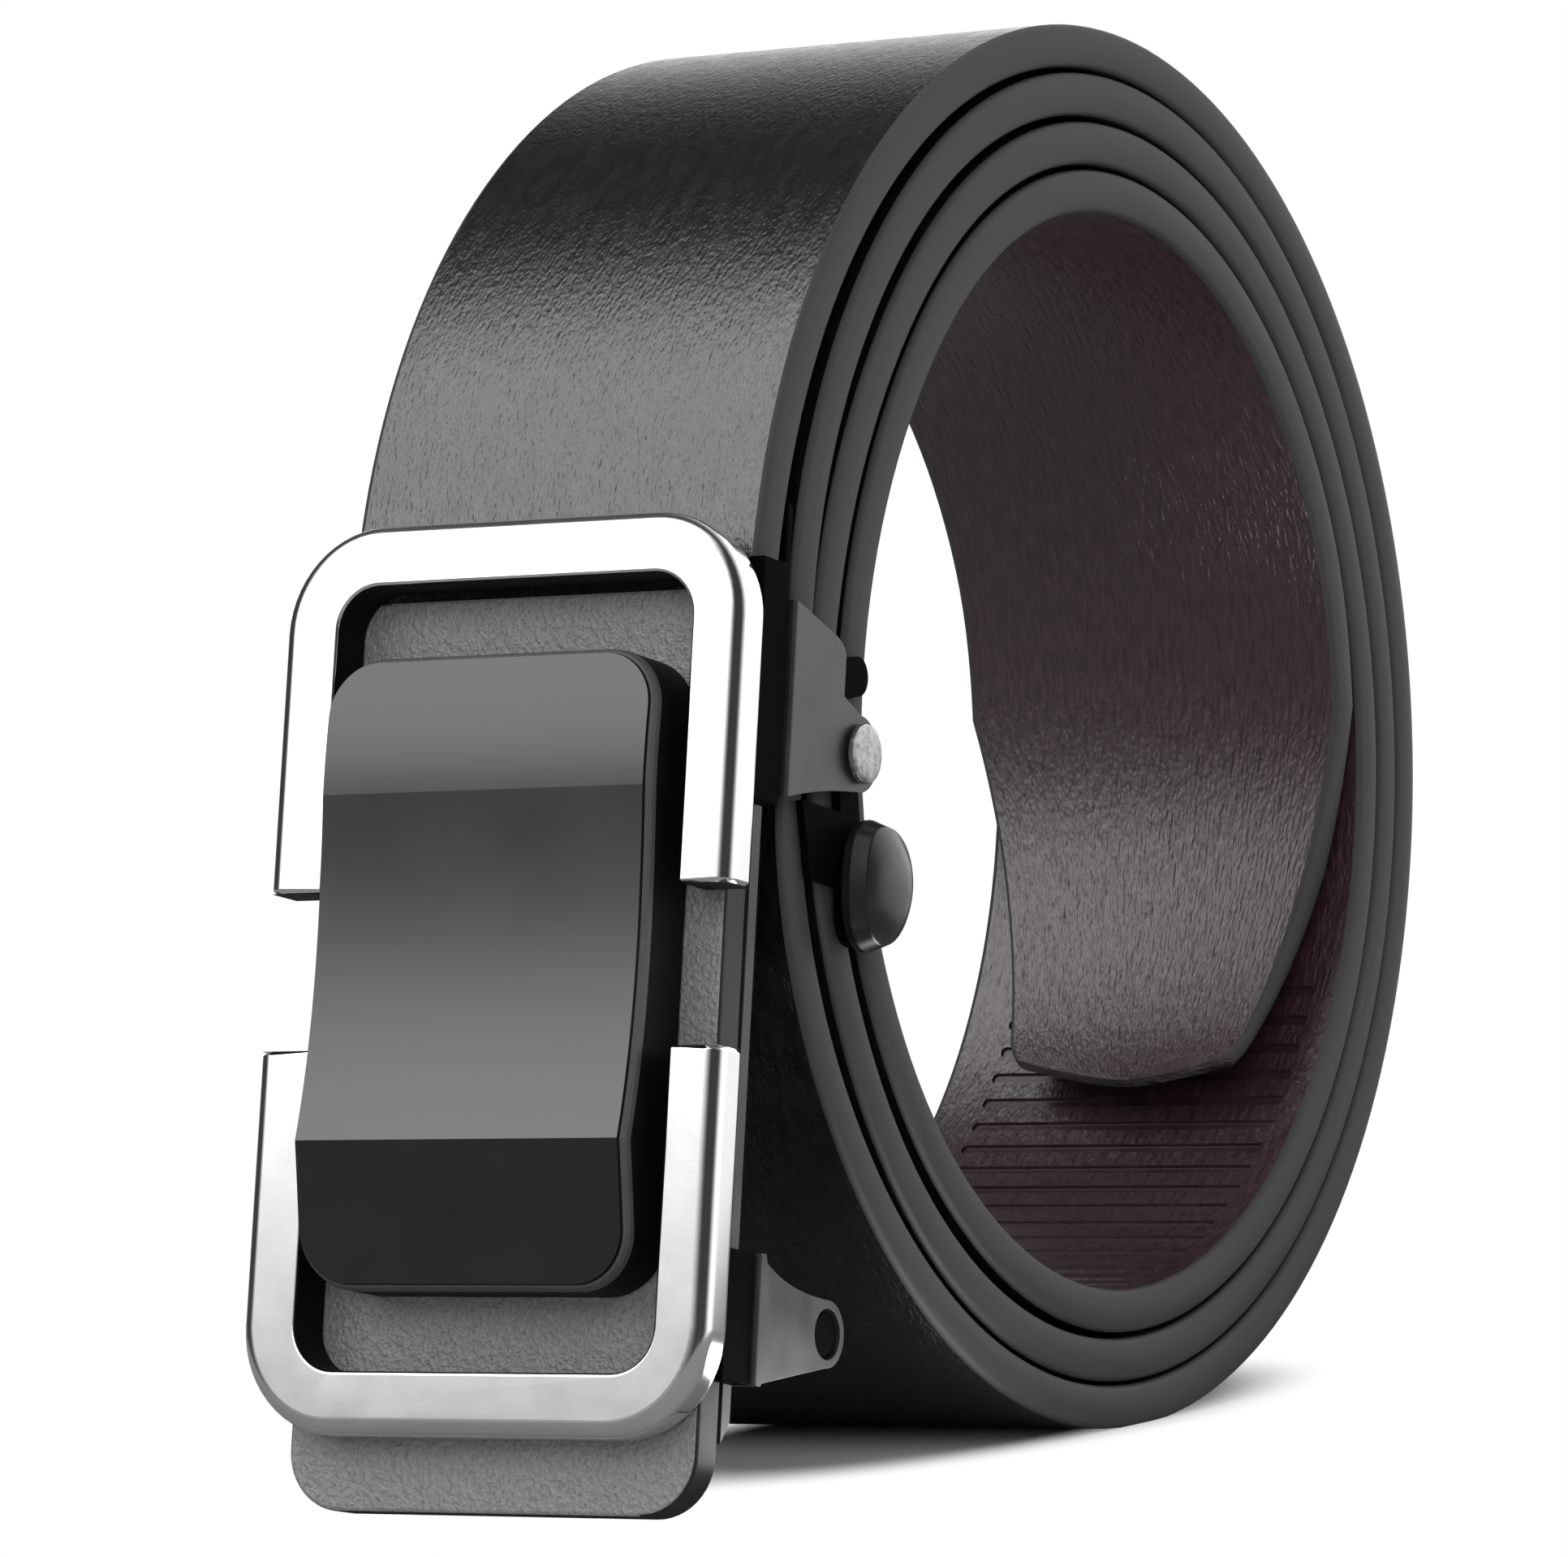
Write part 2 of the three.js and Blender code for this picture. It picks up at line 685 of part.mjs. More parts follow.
// The thumb knob: straight at the front, round at the back, narrower at the bottom.
function makeKnob() {
  const top = pivotUp - knobDrop;
  const front = pivotDepth - knobSetForward;
  const ease = knobThickness / 3;
  const shape = new THREE.Shape();
  const points = knobRows.map((row) => spot(front + knobDepth * row.depth, top - knobLength * row.down));
  const middle = (index) => points[index].clone().lerp(points[(index + 1) % points.length], 0.5);
  const first = middle(points.length - 1);
  shape.moveTo(first.x, first.y);
  points.forEach((point, index) => {
    const next = middle(index);
    shape.quadraticCurveTo(point.x, point.y, next.x, next.y);
  });
  const geometry = new THREE.ExtrudeGeometry(shape, {
    depth: knobThickness - 2 * ease,
    bevelThickness: ease,
    bevelSize: ease,
    bevelOffset: -ease / 2,
    bevelSegments: 3,
    curveSegments: 4,
  });
  geometry.applyMatrix4(new THREE.Matrix4().makeBasis(
    new THREE.Vector3(0, 1, 0),
    new THREE.Vector3(0, 0, 1),
    new THREE.Vector3(1, 0, 0),
  ));
  geometry.translate(armOuter - armThickness / 2 + ease, 0, 0);
  return toSolid(geometry);
}

function makeLever() {
  const pivot = [pivotDepth, pivotUp];
  const stub = [pivotDepth + neckSetBack, pivotUp + stubRise];
  const finger = [pivotDepth - fingerBend, pivotUp + stubRise - fingerRadius];
  const neck = [pivotDepth + neckSetBack, pivotUp - knobDrop];
  const blockTop = pivotUp - blockDrop;
  const blockBack = pivotDepth + neckSetBack;
  const block = sideShape([
    [blockBack - blockDepth, blockTop],
    [blockBack, blockTop],
    [blockBack, blockTop - blockHeight],
    [blockBack - blockDepth + blockTaper, blockTop - blockHeight],
  ]);
  const hole = sideDisc(...pivot, pivotHoleRadius);
  const lever = link(pivot, neck, neckRadius, armInner, armOuter)
    .add(toSolid(sidePrism(sideDisc(...pivot, flangeLobeRadius - seatGap), armInner, armOuter)))
    .add(link(pivot, finger, fingerRadius, armInner, armOuter))
    .add(link(finger, stub, stubRadius, armInner, armOuter))
    .add(toSolid(sidePrism(block, armInner, armOuter)))
    .add(makeKnob())
    .subtract(toSolid(sidePrism(hole, armInner - cutMargin, armOuter + cutMargin)));
  return toGeometry(lever);
}

function makeRivet(side) {
  const under = flangeOuter + seatGap;
  const profile = [
    [0, armInner],
    [rivetRadius, armInner],
    [rivetRadius, under],
    [rivetHeadRadius, under],
    [rivetHeadRadius, under + rivetHeadHeight * 0.5],
    [rivetHeadRadius * 0.8, under + rivetHeadHeight],
    [0, under + rivetHeadHeight],
  ].map(([radius, x]) => new THREE.Vector2(radius, x));
  const geometry = new THREE.LatheGeometry(profile, 24);
  geometry.rotateZ(-side * Math.PI / 2);
  const centre = spot(pivotDepth, pivotUp);
  geometry.translate(0, centre.x, centre.y);
  return geometry;
}

function makeKeeperPin() {
  const reach = flangeOuter - flangeThickness / 4;
  return sidePrism(sideDisc(earReach, keeperUp, keeperRadius), -reach, reach);
}

const finishes = {
  leather: { color: 0x1b1b1c, roughness: 0.5, metalness: 0 },
  chrome: { color: 0xd8d8da, roughness: 0.22, metalness: 1 },
  gunmetal: { color: 0x5c5c5e, roughness: 0.35, metalness: 1 },
  faceLeather: { color: 0x6a6a6c, roughness: 0.6, metalness: 0.2 },
  blackSteel: { color: 0x0b0b0c, roughness: 0.45, metalness: 0.6 },
  satinSteel: { color: 0x5d5d5f, roughness: 0.4, metalness: 0.9 },
  rivetSteel: { color: 0x9a9a9c, roughness: 0.35, metalness: 1 },
};

const pieces = [
  ['strap', makeStrap(), 'leather'],
  ['frame_upper', makeFrameUpper(), 'chrome'],
  ['frame_lower', makeFrameLower(), 'chrome'],
  ['face_plate', makeFacePlate(), 'faceLeather'],
  ['wave_plate', makeWavePlate(), 'gunmetal'],
  ['base_plate', makeBasePlate(), 'satinSteel'],
  ['rail_upper_right', makeRail(1, upperRailTop, upperRailLength), 'blackSteel'],
  ['rail_upper_left', makeRail(-1, upperRailTop, upperRailLength), 'blackSteel'],
  ['rail_lower_right', makeRail(1, lowerRailTop, lowerRailLength), 'blackSteel'],
  ['rail_lower_left', makeRail(-1, lowerRailTop, lowerRailLength), 'blackSteel'],
  ['clamp_jaw', makeJaw(), 'blackSteel'],
  ['pawl_plate', makePawl(), 'blackSteel'],
  ['release_lever', makeLever(), 'blackSteel'],
  ['rivet_right', makeRivet(1), 'rivetSteel'],
  ['rivet_left', makeRivet(-1), 'rivetSteel'],
  ['keeper_pin', makeKeeperPin(), 'blackSteel'],
];

const belt = new THREE.Group();
for (const [name, geometry, finish] of pieces) {
  const mesh = new THREE.Mesh(geometry, new THREE.MeshStandardMaterial(finishes[finish]));
  mesh.name = name;
  belt.add(mesh);
}
belt.rotation.x = -stance.lean;
belt.position.set(0, -stance.footY, stance.level);

const group = new THREE.Group();
group.add(belt);

export default group;
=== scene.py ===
"""Looks of a coiled ratchet belt and its framed plate buckle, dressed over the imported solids.

Shapes are worked out in millimetres in the buckle's own directions: x across the strap, depth back
from the front of the frame, and up along the frame. They are turned to the row frame at the end.
"""

import bisect
import json
import logging
import math
from dataclasses import dataclass
from enum import Enum, IntEnum
from typing import Any, Iterable, NamedTuple, Sequence

import bmesh
import bpy
from mathutils import Matrix, Vector

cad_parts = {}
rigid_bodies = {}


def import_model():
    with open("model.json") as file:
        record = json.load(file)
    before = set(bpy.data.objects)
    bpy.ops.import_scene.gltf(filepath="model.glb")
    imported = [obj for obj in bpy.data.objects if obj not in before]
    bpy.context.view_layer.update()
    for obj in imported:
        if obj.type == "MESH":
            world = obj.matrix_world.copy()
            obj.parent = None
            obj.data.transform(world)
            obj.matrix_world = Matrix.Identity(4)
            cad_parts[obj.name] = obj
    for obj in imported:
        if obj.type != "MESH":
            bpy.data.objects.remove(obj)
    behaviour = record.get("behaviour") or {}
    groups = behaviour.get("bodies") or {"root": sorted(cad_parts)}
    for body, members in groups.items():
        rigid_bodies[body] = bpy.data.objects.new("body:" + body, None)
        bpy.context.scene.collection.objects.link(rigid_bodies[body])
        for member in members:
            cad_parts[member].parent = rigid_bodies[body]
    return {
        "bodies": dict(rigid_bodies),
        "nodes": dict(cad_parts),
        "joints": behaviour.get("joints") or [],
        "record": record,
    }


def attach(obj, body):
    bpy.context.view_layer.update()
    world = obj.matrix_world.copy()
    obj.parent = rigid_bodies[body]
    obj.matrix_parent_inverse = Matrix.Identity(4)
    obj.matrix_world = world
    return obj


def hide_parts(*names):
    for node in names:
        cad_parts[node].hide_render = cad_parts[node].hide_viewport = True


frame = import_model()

# Metres in a millimetre, and the millimetres within which two points are one.
MM = 0.001
SAME_PLACE = 0.001
# The share of a face's normal along an axis from which it faces that way.
FACING = 0.5
# The angle from which an edge stands out, so that it gets rounded.
STARK_ANGLE = math.radians(38.0)
# The octaves of a finish's colours, and the part of a pattern's range that its values are spread over.
MOTTLE_DETAIL = 4.0
PATTERN_RANGE = (0.3, 0.7)
PHOTO_WIDTH = 1932
log = logging.getLogger("belt")


class Surface(IntEnum):
    """The strap's kinds of surface, in the order of its materials."""

    FACE = 0
    EDGE = 1
    LINING = 2
    GROOVE = 3


class Trim(IntEnum):
    """A buckle plate's kinds of surface, in the order of its materials."""

    FRONT = 0
    SIDE = 1
    BASE = 2


class Side(Enum):
    """The two sides of the buckle."""

    RIGHT = 1
    LEFT = -1


class Pattern(Enum):
    """What a finish's pattern follows."""

    OBJECT = "Object"
    STRAP = "UV"


class CoilRow(NamedTuple):
    """How far a stretch of the coil lies inside the outermost turn."""

    turn: float
    layers: float
    bulge: float


class Corner(NamedTuple):
    """A corner of a plate's outline, seen from the front."""

    x: float
    up: float
    radius: float


class Window(NamedTuple):
    """One half of the frame's window: its sides, its bar's inner edge and its legs' ends.

    The bar is at the top where upward is 1, and at the bottom where it is -1.
    """

    left: float
    right: float
    bar: float
    leg_end: float
    upward: int

    def holds(self, points: Sequence[Vector], slack: float) -> bool:
        """Tells whether points all lie within the window, or all at the legs' ends.

        Args:
            points: The points.
            slack: How far out they may be.

        Returns:
            Whether they do.
        """
        within = all(
            self.left - slack < point.x < self.right + slack
            and (point.z - self.bar) * self.upward < slack
            for point in points
        )
        return within or all(abs(point.z - self.leg_end) < slack for point in points)


class Facet(NamedTuple):
    """One facet of the wave plate: where it ends, how proud it is there and how it slopes."""

    start: float
    end: float
    start_rise: float
    end_rise: float
    start_slope: float
    end_slope: float


class Span(NamedTuple):
    """The lowest and highest corners of a node in the buckle's own directions."""

    low: Vector
    high: Vector


class Station(NamedTuple):
    """A place along the strap: its length from the clamped end, its outer and its inner point."""

    length: float
    outer: Vector
    inner: Vector


# Finishes


@dataclass(frozen=True)
class Grain:
    """A layer of fine relief.

    Attributes:
        across: Cells per metre across the pattern.
        along: Cells per metre along the pattern.
        height: Depth of the relief in metres.
        strength: Share of the relief that shows.
        detail: How many finer octaves it has.
        cells: Whether it is made of pebbles in place of noise.
    """

    across: float
    along: float
    height: float
    strength: float = 1.0
    detail: float = 2.0
    cells: bool = False


@dataclass(frozen=True)
class Finish:
    """A surface finish, with its colour, gloss and relief.

    Attributes:
        name: The material's name.
        dark: Colour in the pattern's hollows.
        light: Colour on the pattern's heights.
        gloss: Roughness at the pattern's heights and hollows.
        metal: Share of metal.
        mottle: Cells per metre of the colour's pattern, across and along.
        grains: The layers of relief.
        pattern: What the pattern follows.
        bend: Index of refraction.
        shine: Share of the usual mirror gloss.
    """

    name: str
    dark: tuple[float, float, float]
    light: tuple[float, float, float]
    gloss: tuple[float, float]
    metal: float = 0.0
    mottle: tuple[float, float] = (300.0, 300.0)
    grains: tuple[Grain, ...] = ()
    pattern: Pattern = Pattern.OBJECT
    bend: float = 1.5
    shine: float = 0.5

    def material(self) -> bpy.types.Material:
        """Builds the finish as a node material, once.

        Returns:
            The material.
        """
        known = bpy.data.materials.get(self.name)
        if known:
            return known
        sheet = NodeSheet(self.name, self.pattern)
        shader = sheet.shader
        shader.inputs["Metallic"].default_value = self.metal
        shader.inputs["IOR"].default_value = self.bend
        shader.inputs["Specular IOR Level"].default_value = self.shine
        cloud = sheet.noise(*self.mottle, detail=MOTTLE_DETAIL)
        sheet.join(sheet.blend(cloud, self.dark, self.light), shader.inputs["Base Color"])
        sheet.join(sheet.spread(cloud, *self.gloss), shader.inputs["Roughness"])
        relief = None
        for grain in self.grains:
            relief = sheet.relief(grain, relief)
        if relief is not None:
            sheet.join(relief, shader.inputs["Normal"])
        return sheet.material


def grey(level: float) -> tuple[float, float, float, float]:
    """Gives a grey as a node's colour."""
    return (level, level, level, 1.0)


class Sheet:
    """A node tree, with the short calls that the materials and the world share."""

    def __init__(self, owner: bpy.types.Material | bpy.types.World) -> None:
        """Turns the nodes on.

        Args:
            owner: The material or the world that has the nodes.
        """
        owner.use_nodes = True
        self.nodes = owner.node_tree.nodes
        self.links = owner.node_tree.links

    def join(self, source: bpy.types.NodeSocket, target: bpy.types.NodeSocket) -> None:
        """Links two sockets."""
        self.links.new(source, target)

    def fade(
        self,
        source: bpy.types.NodeSocket,
        start: float,
        end: float,
        strength: float = 1.0,
    ) -> bpy.types.NodeSocket:
        """Rises smoothly from 0 to a strength between two values of a socket.

        Args:
            source: The socket.
            start: The value at which it leaves 0.
            end: The value at which it reaches its strength.
            strength: What it rises to.

        Returns:
            The risen value.
        """
        ramp = self.nodes.new("ShaderNodeMapRange")
        ramp.interpolation_type = "SMOOTHSTEP"
        ramp.inputs["From Min"].default_value = start
        ramp.inputs["From Max"].default_value = end
        ramp.inputs["To Max"].default_value = strength
        self.join(source, ramp.inputs["Value"])
        return ramp.outputs["Result"]


class NodeSheet(Sheet):
    """The node tree of one material, with short calls for the nodes that the finishes share."""

    def __init__(self, name: str, pattern: Pattern) -> None:
        """Makes an empty material.

        Args:
            name: The material's name.
            pattern: The coordinates that its patterns follow.
        """
        self.material = bpy.data.materials.new(name)
        super().__init__(self.material)
        self.shader = self.nodes["Principled BSDF"]
        self.place = self.nodes.new("ShaderNodeTexCoord").outputs[pattern.value]

    def stretched(self, across: float, along: float) -> bpy.types.NodeSocket:
        """Scales the pattern's coordinates.

        Args:
            across: Cells per metre along the first coordinate.
            along: Cells per metre along the others.

        Returns:
            The scaled coordinates.
        """
        mapping = self.nodes.new("ShaderNodeMapping")
        mapping.inputs["Scale"].default_value = (across, along, along)
        self.join(self.place, mapping.inputs["Vector"])
        return mapping.outputs["Vector"]

    def noise(self, across: float, along: float, detail: float) -> bpy.types.NodeSocket:
        """Adds a noise pattern.

        Args:
            across: Cells per metre along the first coordinate.
            along: Cells per metre along the others.
            detail: How many finer octaves it has.

        Returns:
            The pattern, from 0 to 1.
        """
        texture = self.nodes.new("ShaderNodeTexNoise")
        texture.inputs["Scale"].default_value = 1.0
        texture.inputs["Detail"].default_value = detail
        self.join(self.stretched(across, along), texture.inputs["Vector"])
        return texture.outputs["Fac"]

    def pebbles(self, across: float, along: float) -> bpy.types.NodeSocket:
        """Adds a pattern of small cells.

        Args:
            across: Cells per metre along the first coordinate.
            along: Cells per metre along the others.

        Returns:
            The distance from each cell's middle.
        """
        texture = self.nodes.new("ShaderNodeTexVoronoi")
        texture.feature = "SMOOTH_F1"
        texture.inputs["Scale"].default_value = 1.0
        self.join(self.stretched(across, along), texture.inputs["Vector"])
        return texture.outputs["Distance"]

    def spread(self, source: bpy.types.NodeSocket, low: float, high: float) -> bpy.types.NodeSocket:
        """Maps the middle of a pattern's range onto two values.

        Args:
            source: The pattern.
            low: The value at its low end.
            high: The value at its high end.

        Returns:
            The mapped pattern.
        """
        ramp = self.nodes.new("ShaderNodeMapRange")
        ramp.inputs["From Min"].default_value = PATTERN_RANGE[0]
        ramp.inputs["From Max"].default_value = PATTERN_RANGE[1]
        ramp.inputs["To Min"].default_value = low
        ramp.inputs["To Max"].default_value = high
        self.join(source, ramp.inputs["Value"])
        return ramp.outputs["Result"]

    def blend(
        self,
        source: bpy.types.NodeSocket,
        dark: Sequence[float],
        light: Sequence[float],
    ) -> bpy.types.NodeSocket:
        """Blends two colours by a pattern.

        Args:
            source: The pattern.
            dark: The colour at its low end.
            light: The colour at its high end.

        Returns:
            The blended colour.
        """
        mix = self.nodes.new("ShaderNodeMix")
        mix.data_type = "RGBA"
        mix.inputs["A"].default_value = (*dark, 1.0)
        mix.inputs["B"].default_value = (*light, 1.0)
        self.join(self.spread(source, 0.0, 1.0), mix.inputs["Factor"])
        return mix.outputs["Result"]

    def measure(
        self,
        operation: str,
        against: Sequence[float] | None,
        place: bpy.types.NodeSocket | None = None,
    ) -> bpy.types.NodeSocket:
        """Measures the pattern's coordinates.

        Args:
            operation: The vector operation.
            against: The direction that a product is taken with.
            place: The coordinates, where they aren't the pattern's own.

        Returns:
            The measured value.
        """
        node = self.nodes.new("ShaderNodeVectorMath")
        node.operation = operation
        self.join(place or self.place, node.inputs[0])
        if against is not None:
            node.inputs[1].default_value = against
        return node.outputs["Value"]

    def mixed(
        self,
        share: bpy.types.NodeSocket,
        first: bpy.types.NodeSocket,
        second: bpy.types.NodeSocket,
    ) -> bpy.types.NodeSocket:
        """Mixes two shaders.

        Args:
            share: The second shader's share.
            first: The first shader.
            second: The second shader.

        Returns:
            The mixed shader.
        """
        mix = self.nodes.new("ShaderNodeMixShader")
        self.join(share, mix.inputs[0])
        self.join(first, mix.inputs[1])
        self.join(second, mix.inputs[2])
        return mix.outputs[0]

    def relief(self, grain: Grain, under: bpy.types.NodeSocket | None) -> bpy.types.NodeSocket:
        """Adds one layer of relief over another.

        Args:
            grain: The layer.
            under: The normal of the layers below, if there are any.

        Returns:
            The normal with the layer on it.
        """
        bump = self.nodes.new("ShaderNodeBump")
        bump.inputs["Strength"].default_value = grain.strength
        bump.inputs["Distance"].default_value = grain.height
        if grain.cells:
            pattern = self.pebbles(grain.across, grain.along)
        else:
            pattern = self.noise(grain.across, grain.along, grain.detail)
        self.join(pattern, bump.inputs["Height"])
        if under is not None:
            self.join(under, bump.inputs["Normal"])
        return bump.outputs["Normal"]


STRAP_LEATHER = Finish(
    name="black grained leather",
    dark=(0.0018, 0.0018, 0.002),
    light=(0.0036, 0.0036, 0.0039),
    gloss=(0.2, 0.29),
    mottle=(900.0, 300.0),
    grains=(
        Grain(across=3000.0, along=900.0, height=0.00011, strength=0.8, detail=3.0),
        Grain(across=3600.0, along=2600.0, height=0.00005, strength=0.6, cells=True),
    ),
    pattern=Pattern.STRAP,
    bend=1.6,
    shine=0.75,
)
EDGE_PAINT = Finish(
    name="grey edge paint",
    dark=(0.028, 0.028, 0.029),
    light=(0.038, 0.038, 0.0394),
    gloss=(0.5, 0.6),
    mottle=(900.0, 60.0),
    grains=(Grain(across=900.0, along=60.0, height=0.00004, strength=0.4),),
    pattern=Pattern.STRAP,
    bend=1.45,
    shine=0.15,
)
LINING = Finish(
    name="brown lining leather",
    dark=(0.0135, 0.0056, 0.0066),
    light=(0.028, 0.0122, 0.0142),
    gloss=(0.28, 0.4),
    mottle=(2200.0, 420.0),
    grains=(
        Grain(across=2600.0, along=500.0, height=0.00012, strength=1.0, detail=3.0),
        Grain(across=3600.0, along=2000.0, height=0.00006, strength=0.6, cells=True),
    ),
    pattern=Pattern.STRAP,
    bend=1.5,
    shine=0.95,
)
GROOVE = Finish(
    name="pressed groove leather",
    dark=(0.014, 0.006, 0.0066),
    light=(0.022, 0.01, 0.0108),
    gloss=(0.24, 0.32),
    grains=(Grain(across=1800.0, along=1800.0, height=0.00006, strength=0.4),),
)
SATIN_CHROME = Finish(
    name="satin chrome",
    dark=(0.88, 0.88, 0.89),
    light=(0.92, 0.92, 0.93),
    gloss=(0.12, 0.15),
    metal=1.0,
    grains=(Grain(across=5000.0, along=5000.0, height=0.000003, strength=0.2),),
)
# A near-black painted shade, laid on the frame's window walls and legs' ends and on the wave plate's
# sides, where the chrome and the plated metal lie in shade.
PAINTED_RECESS_SHADE = Finish(
    name="painted recess shade",
    dark=(0.002, 0.002, 0.002),
    light=(0.003, 0.003, 0.003),
    gloss=(0.5, 0.6),
    shine=0.1,
)
GUNMETAL = Finish(
    name="dark plated metal",
    dark=(0.072, 0.072, 0.073),
    light=(0.078, 0.078, 0.079),
    gloss=(0.22, 0.26),
    metal=1.0,
    mottle=(120.0, 120.0),
    grains=(Grain(across=4200.0, along=4200.0, height=0.000004, strength=0.2),),
)
GUNMETAL_RIM = Finish(
    name="dark plated rim",
    dark=(0.035, 0.035, 0.035),
    light=(0.045, 0.045, 0.045),
    gloss=(0.4, 0.5),
    shine=0.4,
)
GRAINED_PLATE = Finish(
    name="grained grey plate",
    dark=(0.138, 0.138, 0.139),
    light=(0.192, 0.192, 0.193),
    gloss=(0.42, 0.5),
    metal=0.3,
    mottle=(2600.0, 2200.0),
    grains=(
        Grain(across=2600.0, along=2200.0, height=0.00022, strength=1.0, detail=3.0),
        Grain(across=4200.0, along=4200.0, height=0.00008, strength=0.8, cells=True),
    ),
)
PLATE_SIDE = Finish(
    name="grey plate side",
    dark=(0.034, 0.034, 0.0345),
    light=(0.046, 0.046, 0.0465),
    gloss=(0.42, 0.5),
    metal=0.8,
    mottle=(1200.0, 600.0),
)
BLACK_STEEL = Finish(
    name="black steel",
    dark=(0.001, 0.001, 0.0011),
    light=(0.002, 0.002, 0.0021),
    gloss=(0.5, 0.6),
    mottle=(600.0, 600.0),
    grains=(Grain(across=2400.0, along=2400.0, height=0.00001, strength=0.3),),
    shine=0.01,
)
KNOB_BLACK = Finish(
    name="polished black knob",
    dark=(0.006, 0.006, 0.0062),
    light=(0.009, 0.009, 0.0094),
    gloss=(0.26, 0.3),
    mottle=(400.0, 400.0),
    grains=(Grain(across=900.0, along=900.0, height=0.00001, strength=0.2),),
)
SATIN_SHEET = Finish(
    name="satin grey sheet",
    dark=(0.056, 0.056, 0.058),
    light=(0.082, 0.082, 0.085),
    gloss=(0.34, 0.46),
    metal=0.85,
    mottle=(700.0, 260.0),
    grains=(Grain(across=3000.0, along=900.0, height=0.00001, strength=0.4),),
)
RIVET_STEEL = Finish(
    name="mottled rivet steel",
    dark=(0.19, 0.19, 0.195),
    light=(0.5, 0.5, 0.51),
    gloss=(0.3, 0.48),
    metal=1.0,
    mottle=(1900.0, 1900.0),
    grains=(Grain(across=2200.0, along=2200.0, height=0.00005, strength=0.7, detail=3.0),),
)


# Workbench


def add_object(name: str, data: bpy.types.ID) -> bpy.types.Object:
    """Adds an object to the scene.

    Args:
        name: The object's name.
        data: Its mesh, camera or light.

    Returns:
        The object.
    """
    added = bpy.data.objects.new(name, data)
    bpy.context.scene.collection.objects.link(added)
    return added


def add_mesh(name: str, bm: bmesh.types.BMesh) -> bpy.types.Object:
    """Adds a mesh to the scene.

    Args:
        name: The object's name.
        bm: The mesh. It is used up.

    Returns:
        The object.
    """
    mesh = bpy.data.meshes.new(name)
    bm.to_mesh(mesh)
    bm.free()
    return add_object(name, mesh)


class Workbench:
    """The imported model, read in the buckle's own directions, and the tools that finish a piece."""

    top_rise: float = 5.7
    weld: float = 0.002
    flat_angle: float = math.radians(0.6)

    def __init__(self, packed: dict[str, Any]) -> None:
        """Finds the buckle's own directions.
        """
        self.nodes = packed["nodes"]
        corners = [vertex.co for vertex in self.nodes["rail_upper_right"].data.vertices]
        rise = max(corners, key=lambda co: co.z) - min(corners, key=lambda co: co.y)
        lean = math.atan2(rise.y, rise.z)
        self.to_row = Matrix.Rotation(-lean, 4, "X") @ Matrix.Scale(MM, 4)
        low, high = self.span("frame_upper")
        origin = Vector((0.0, low.y, high.z - self.top_rise))
        self.to_row = self.to_row @ Matrix.Translation(origin)

    def span(self, node: str) -> Span:
        """Measures a node.

        Args:
            node: The node's name.

        Returns:
            Its lowest and highest corners, in millimetres.
        """
        back = self.to_row.inverted()
        points = [back @ vertex.co for vertex in self.nodes[node].data.vertices]
        low = Vector([min(point[axis] for point in points) for axis in range(3)])
        high = Vector([max(point[axis] for point in points) for axis in range(3)])
        return Span(low, high)

    def copy(self, node: str) -> bmesh.types.BMesh:
        """Copies a node's solid, with its triangles merged into whole faces.

        Args:
            node: The node's name.

        Returns:
            The copy, in millimetres.
        """
        bm = bmesh.new()
        bm.from_mesh(self.nodes[node].data)
        bmesh.ops.transform(bm, matrix=self.to_row.inverted(), verts=bm.verts)
        bmesh.ops.remove_doubles(bm, verts=bm.verts, dist=self.weld)
        bmesh.ops.dissolve_limit(bm, angle_limit=self.flat_angle, verts=bm.verts, edges=bm.edges)
        return bm

    def finish(
        self,
        bm: bmesh.types.BMesh,
        name: str,
        finishes: Sequence[Finish],
        slot: str,
        replaces: Iterable[str] = (),
        body: str = "belt",
        sharp_angle: float = math.radians(32.0),
        smoothing: int = 0,
    ) -> bpy.types.Object:
        """Turns a finished mesh to the row frame and hangs it on its body.

        Args:
            bm: The mesh, in millimetres. It is used up.
            name: The piece's name.
            finishes: Its finishes, in the order of its material numbers.
            slot: The record's material slot; not used.
            replaces: The nodes that it stands for.
            body: The body that carries it.
            sharp_angle: The angle from which an edge stays sharp.
            smoothing: How many times it is subdivided smoothly, if at all.

        Returns:
            The piece.
        """
        bmesh.ops.transform(bm, matrix=self.to_row, verts=bm.verts)
        for vertex in bm.verts:
            vertex.co.z = max(vertex.co.z, 0.0)
        bmesh.ops.recalc_face_normals(bm, faces=bm.faces)
        for face in bm.faces:
            face.smooth = True
        for edge in bm.edges:
            edge.smooth = smoothing > 0 or edge.calc_face_angle(0.0) < sharp_angle
        piece = add_mesh(name, bm)
        for finish in finishes:
            piece.data.materials.append(finish.material())
        if smoothing:
            smooth = piece.modifiers.new("smooth", "SUBSURF")
            smooth.levels = smoothing
            smooth.render_levels = smoothing
        else:
            weights = piece.modifiers.new("even shading", "WEIGHTED_NORMAL")
            weights.keep_sharp = True
        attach(piece, body)
        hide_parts(*replaces)
        log.info("%s: %d faces on %s", name, len(piece.data.polygons), body)
        return piece


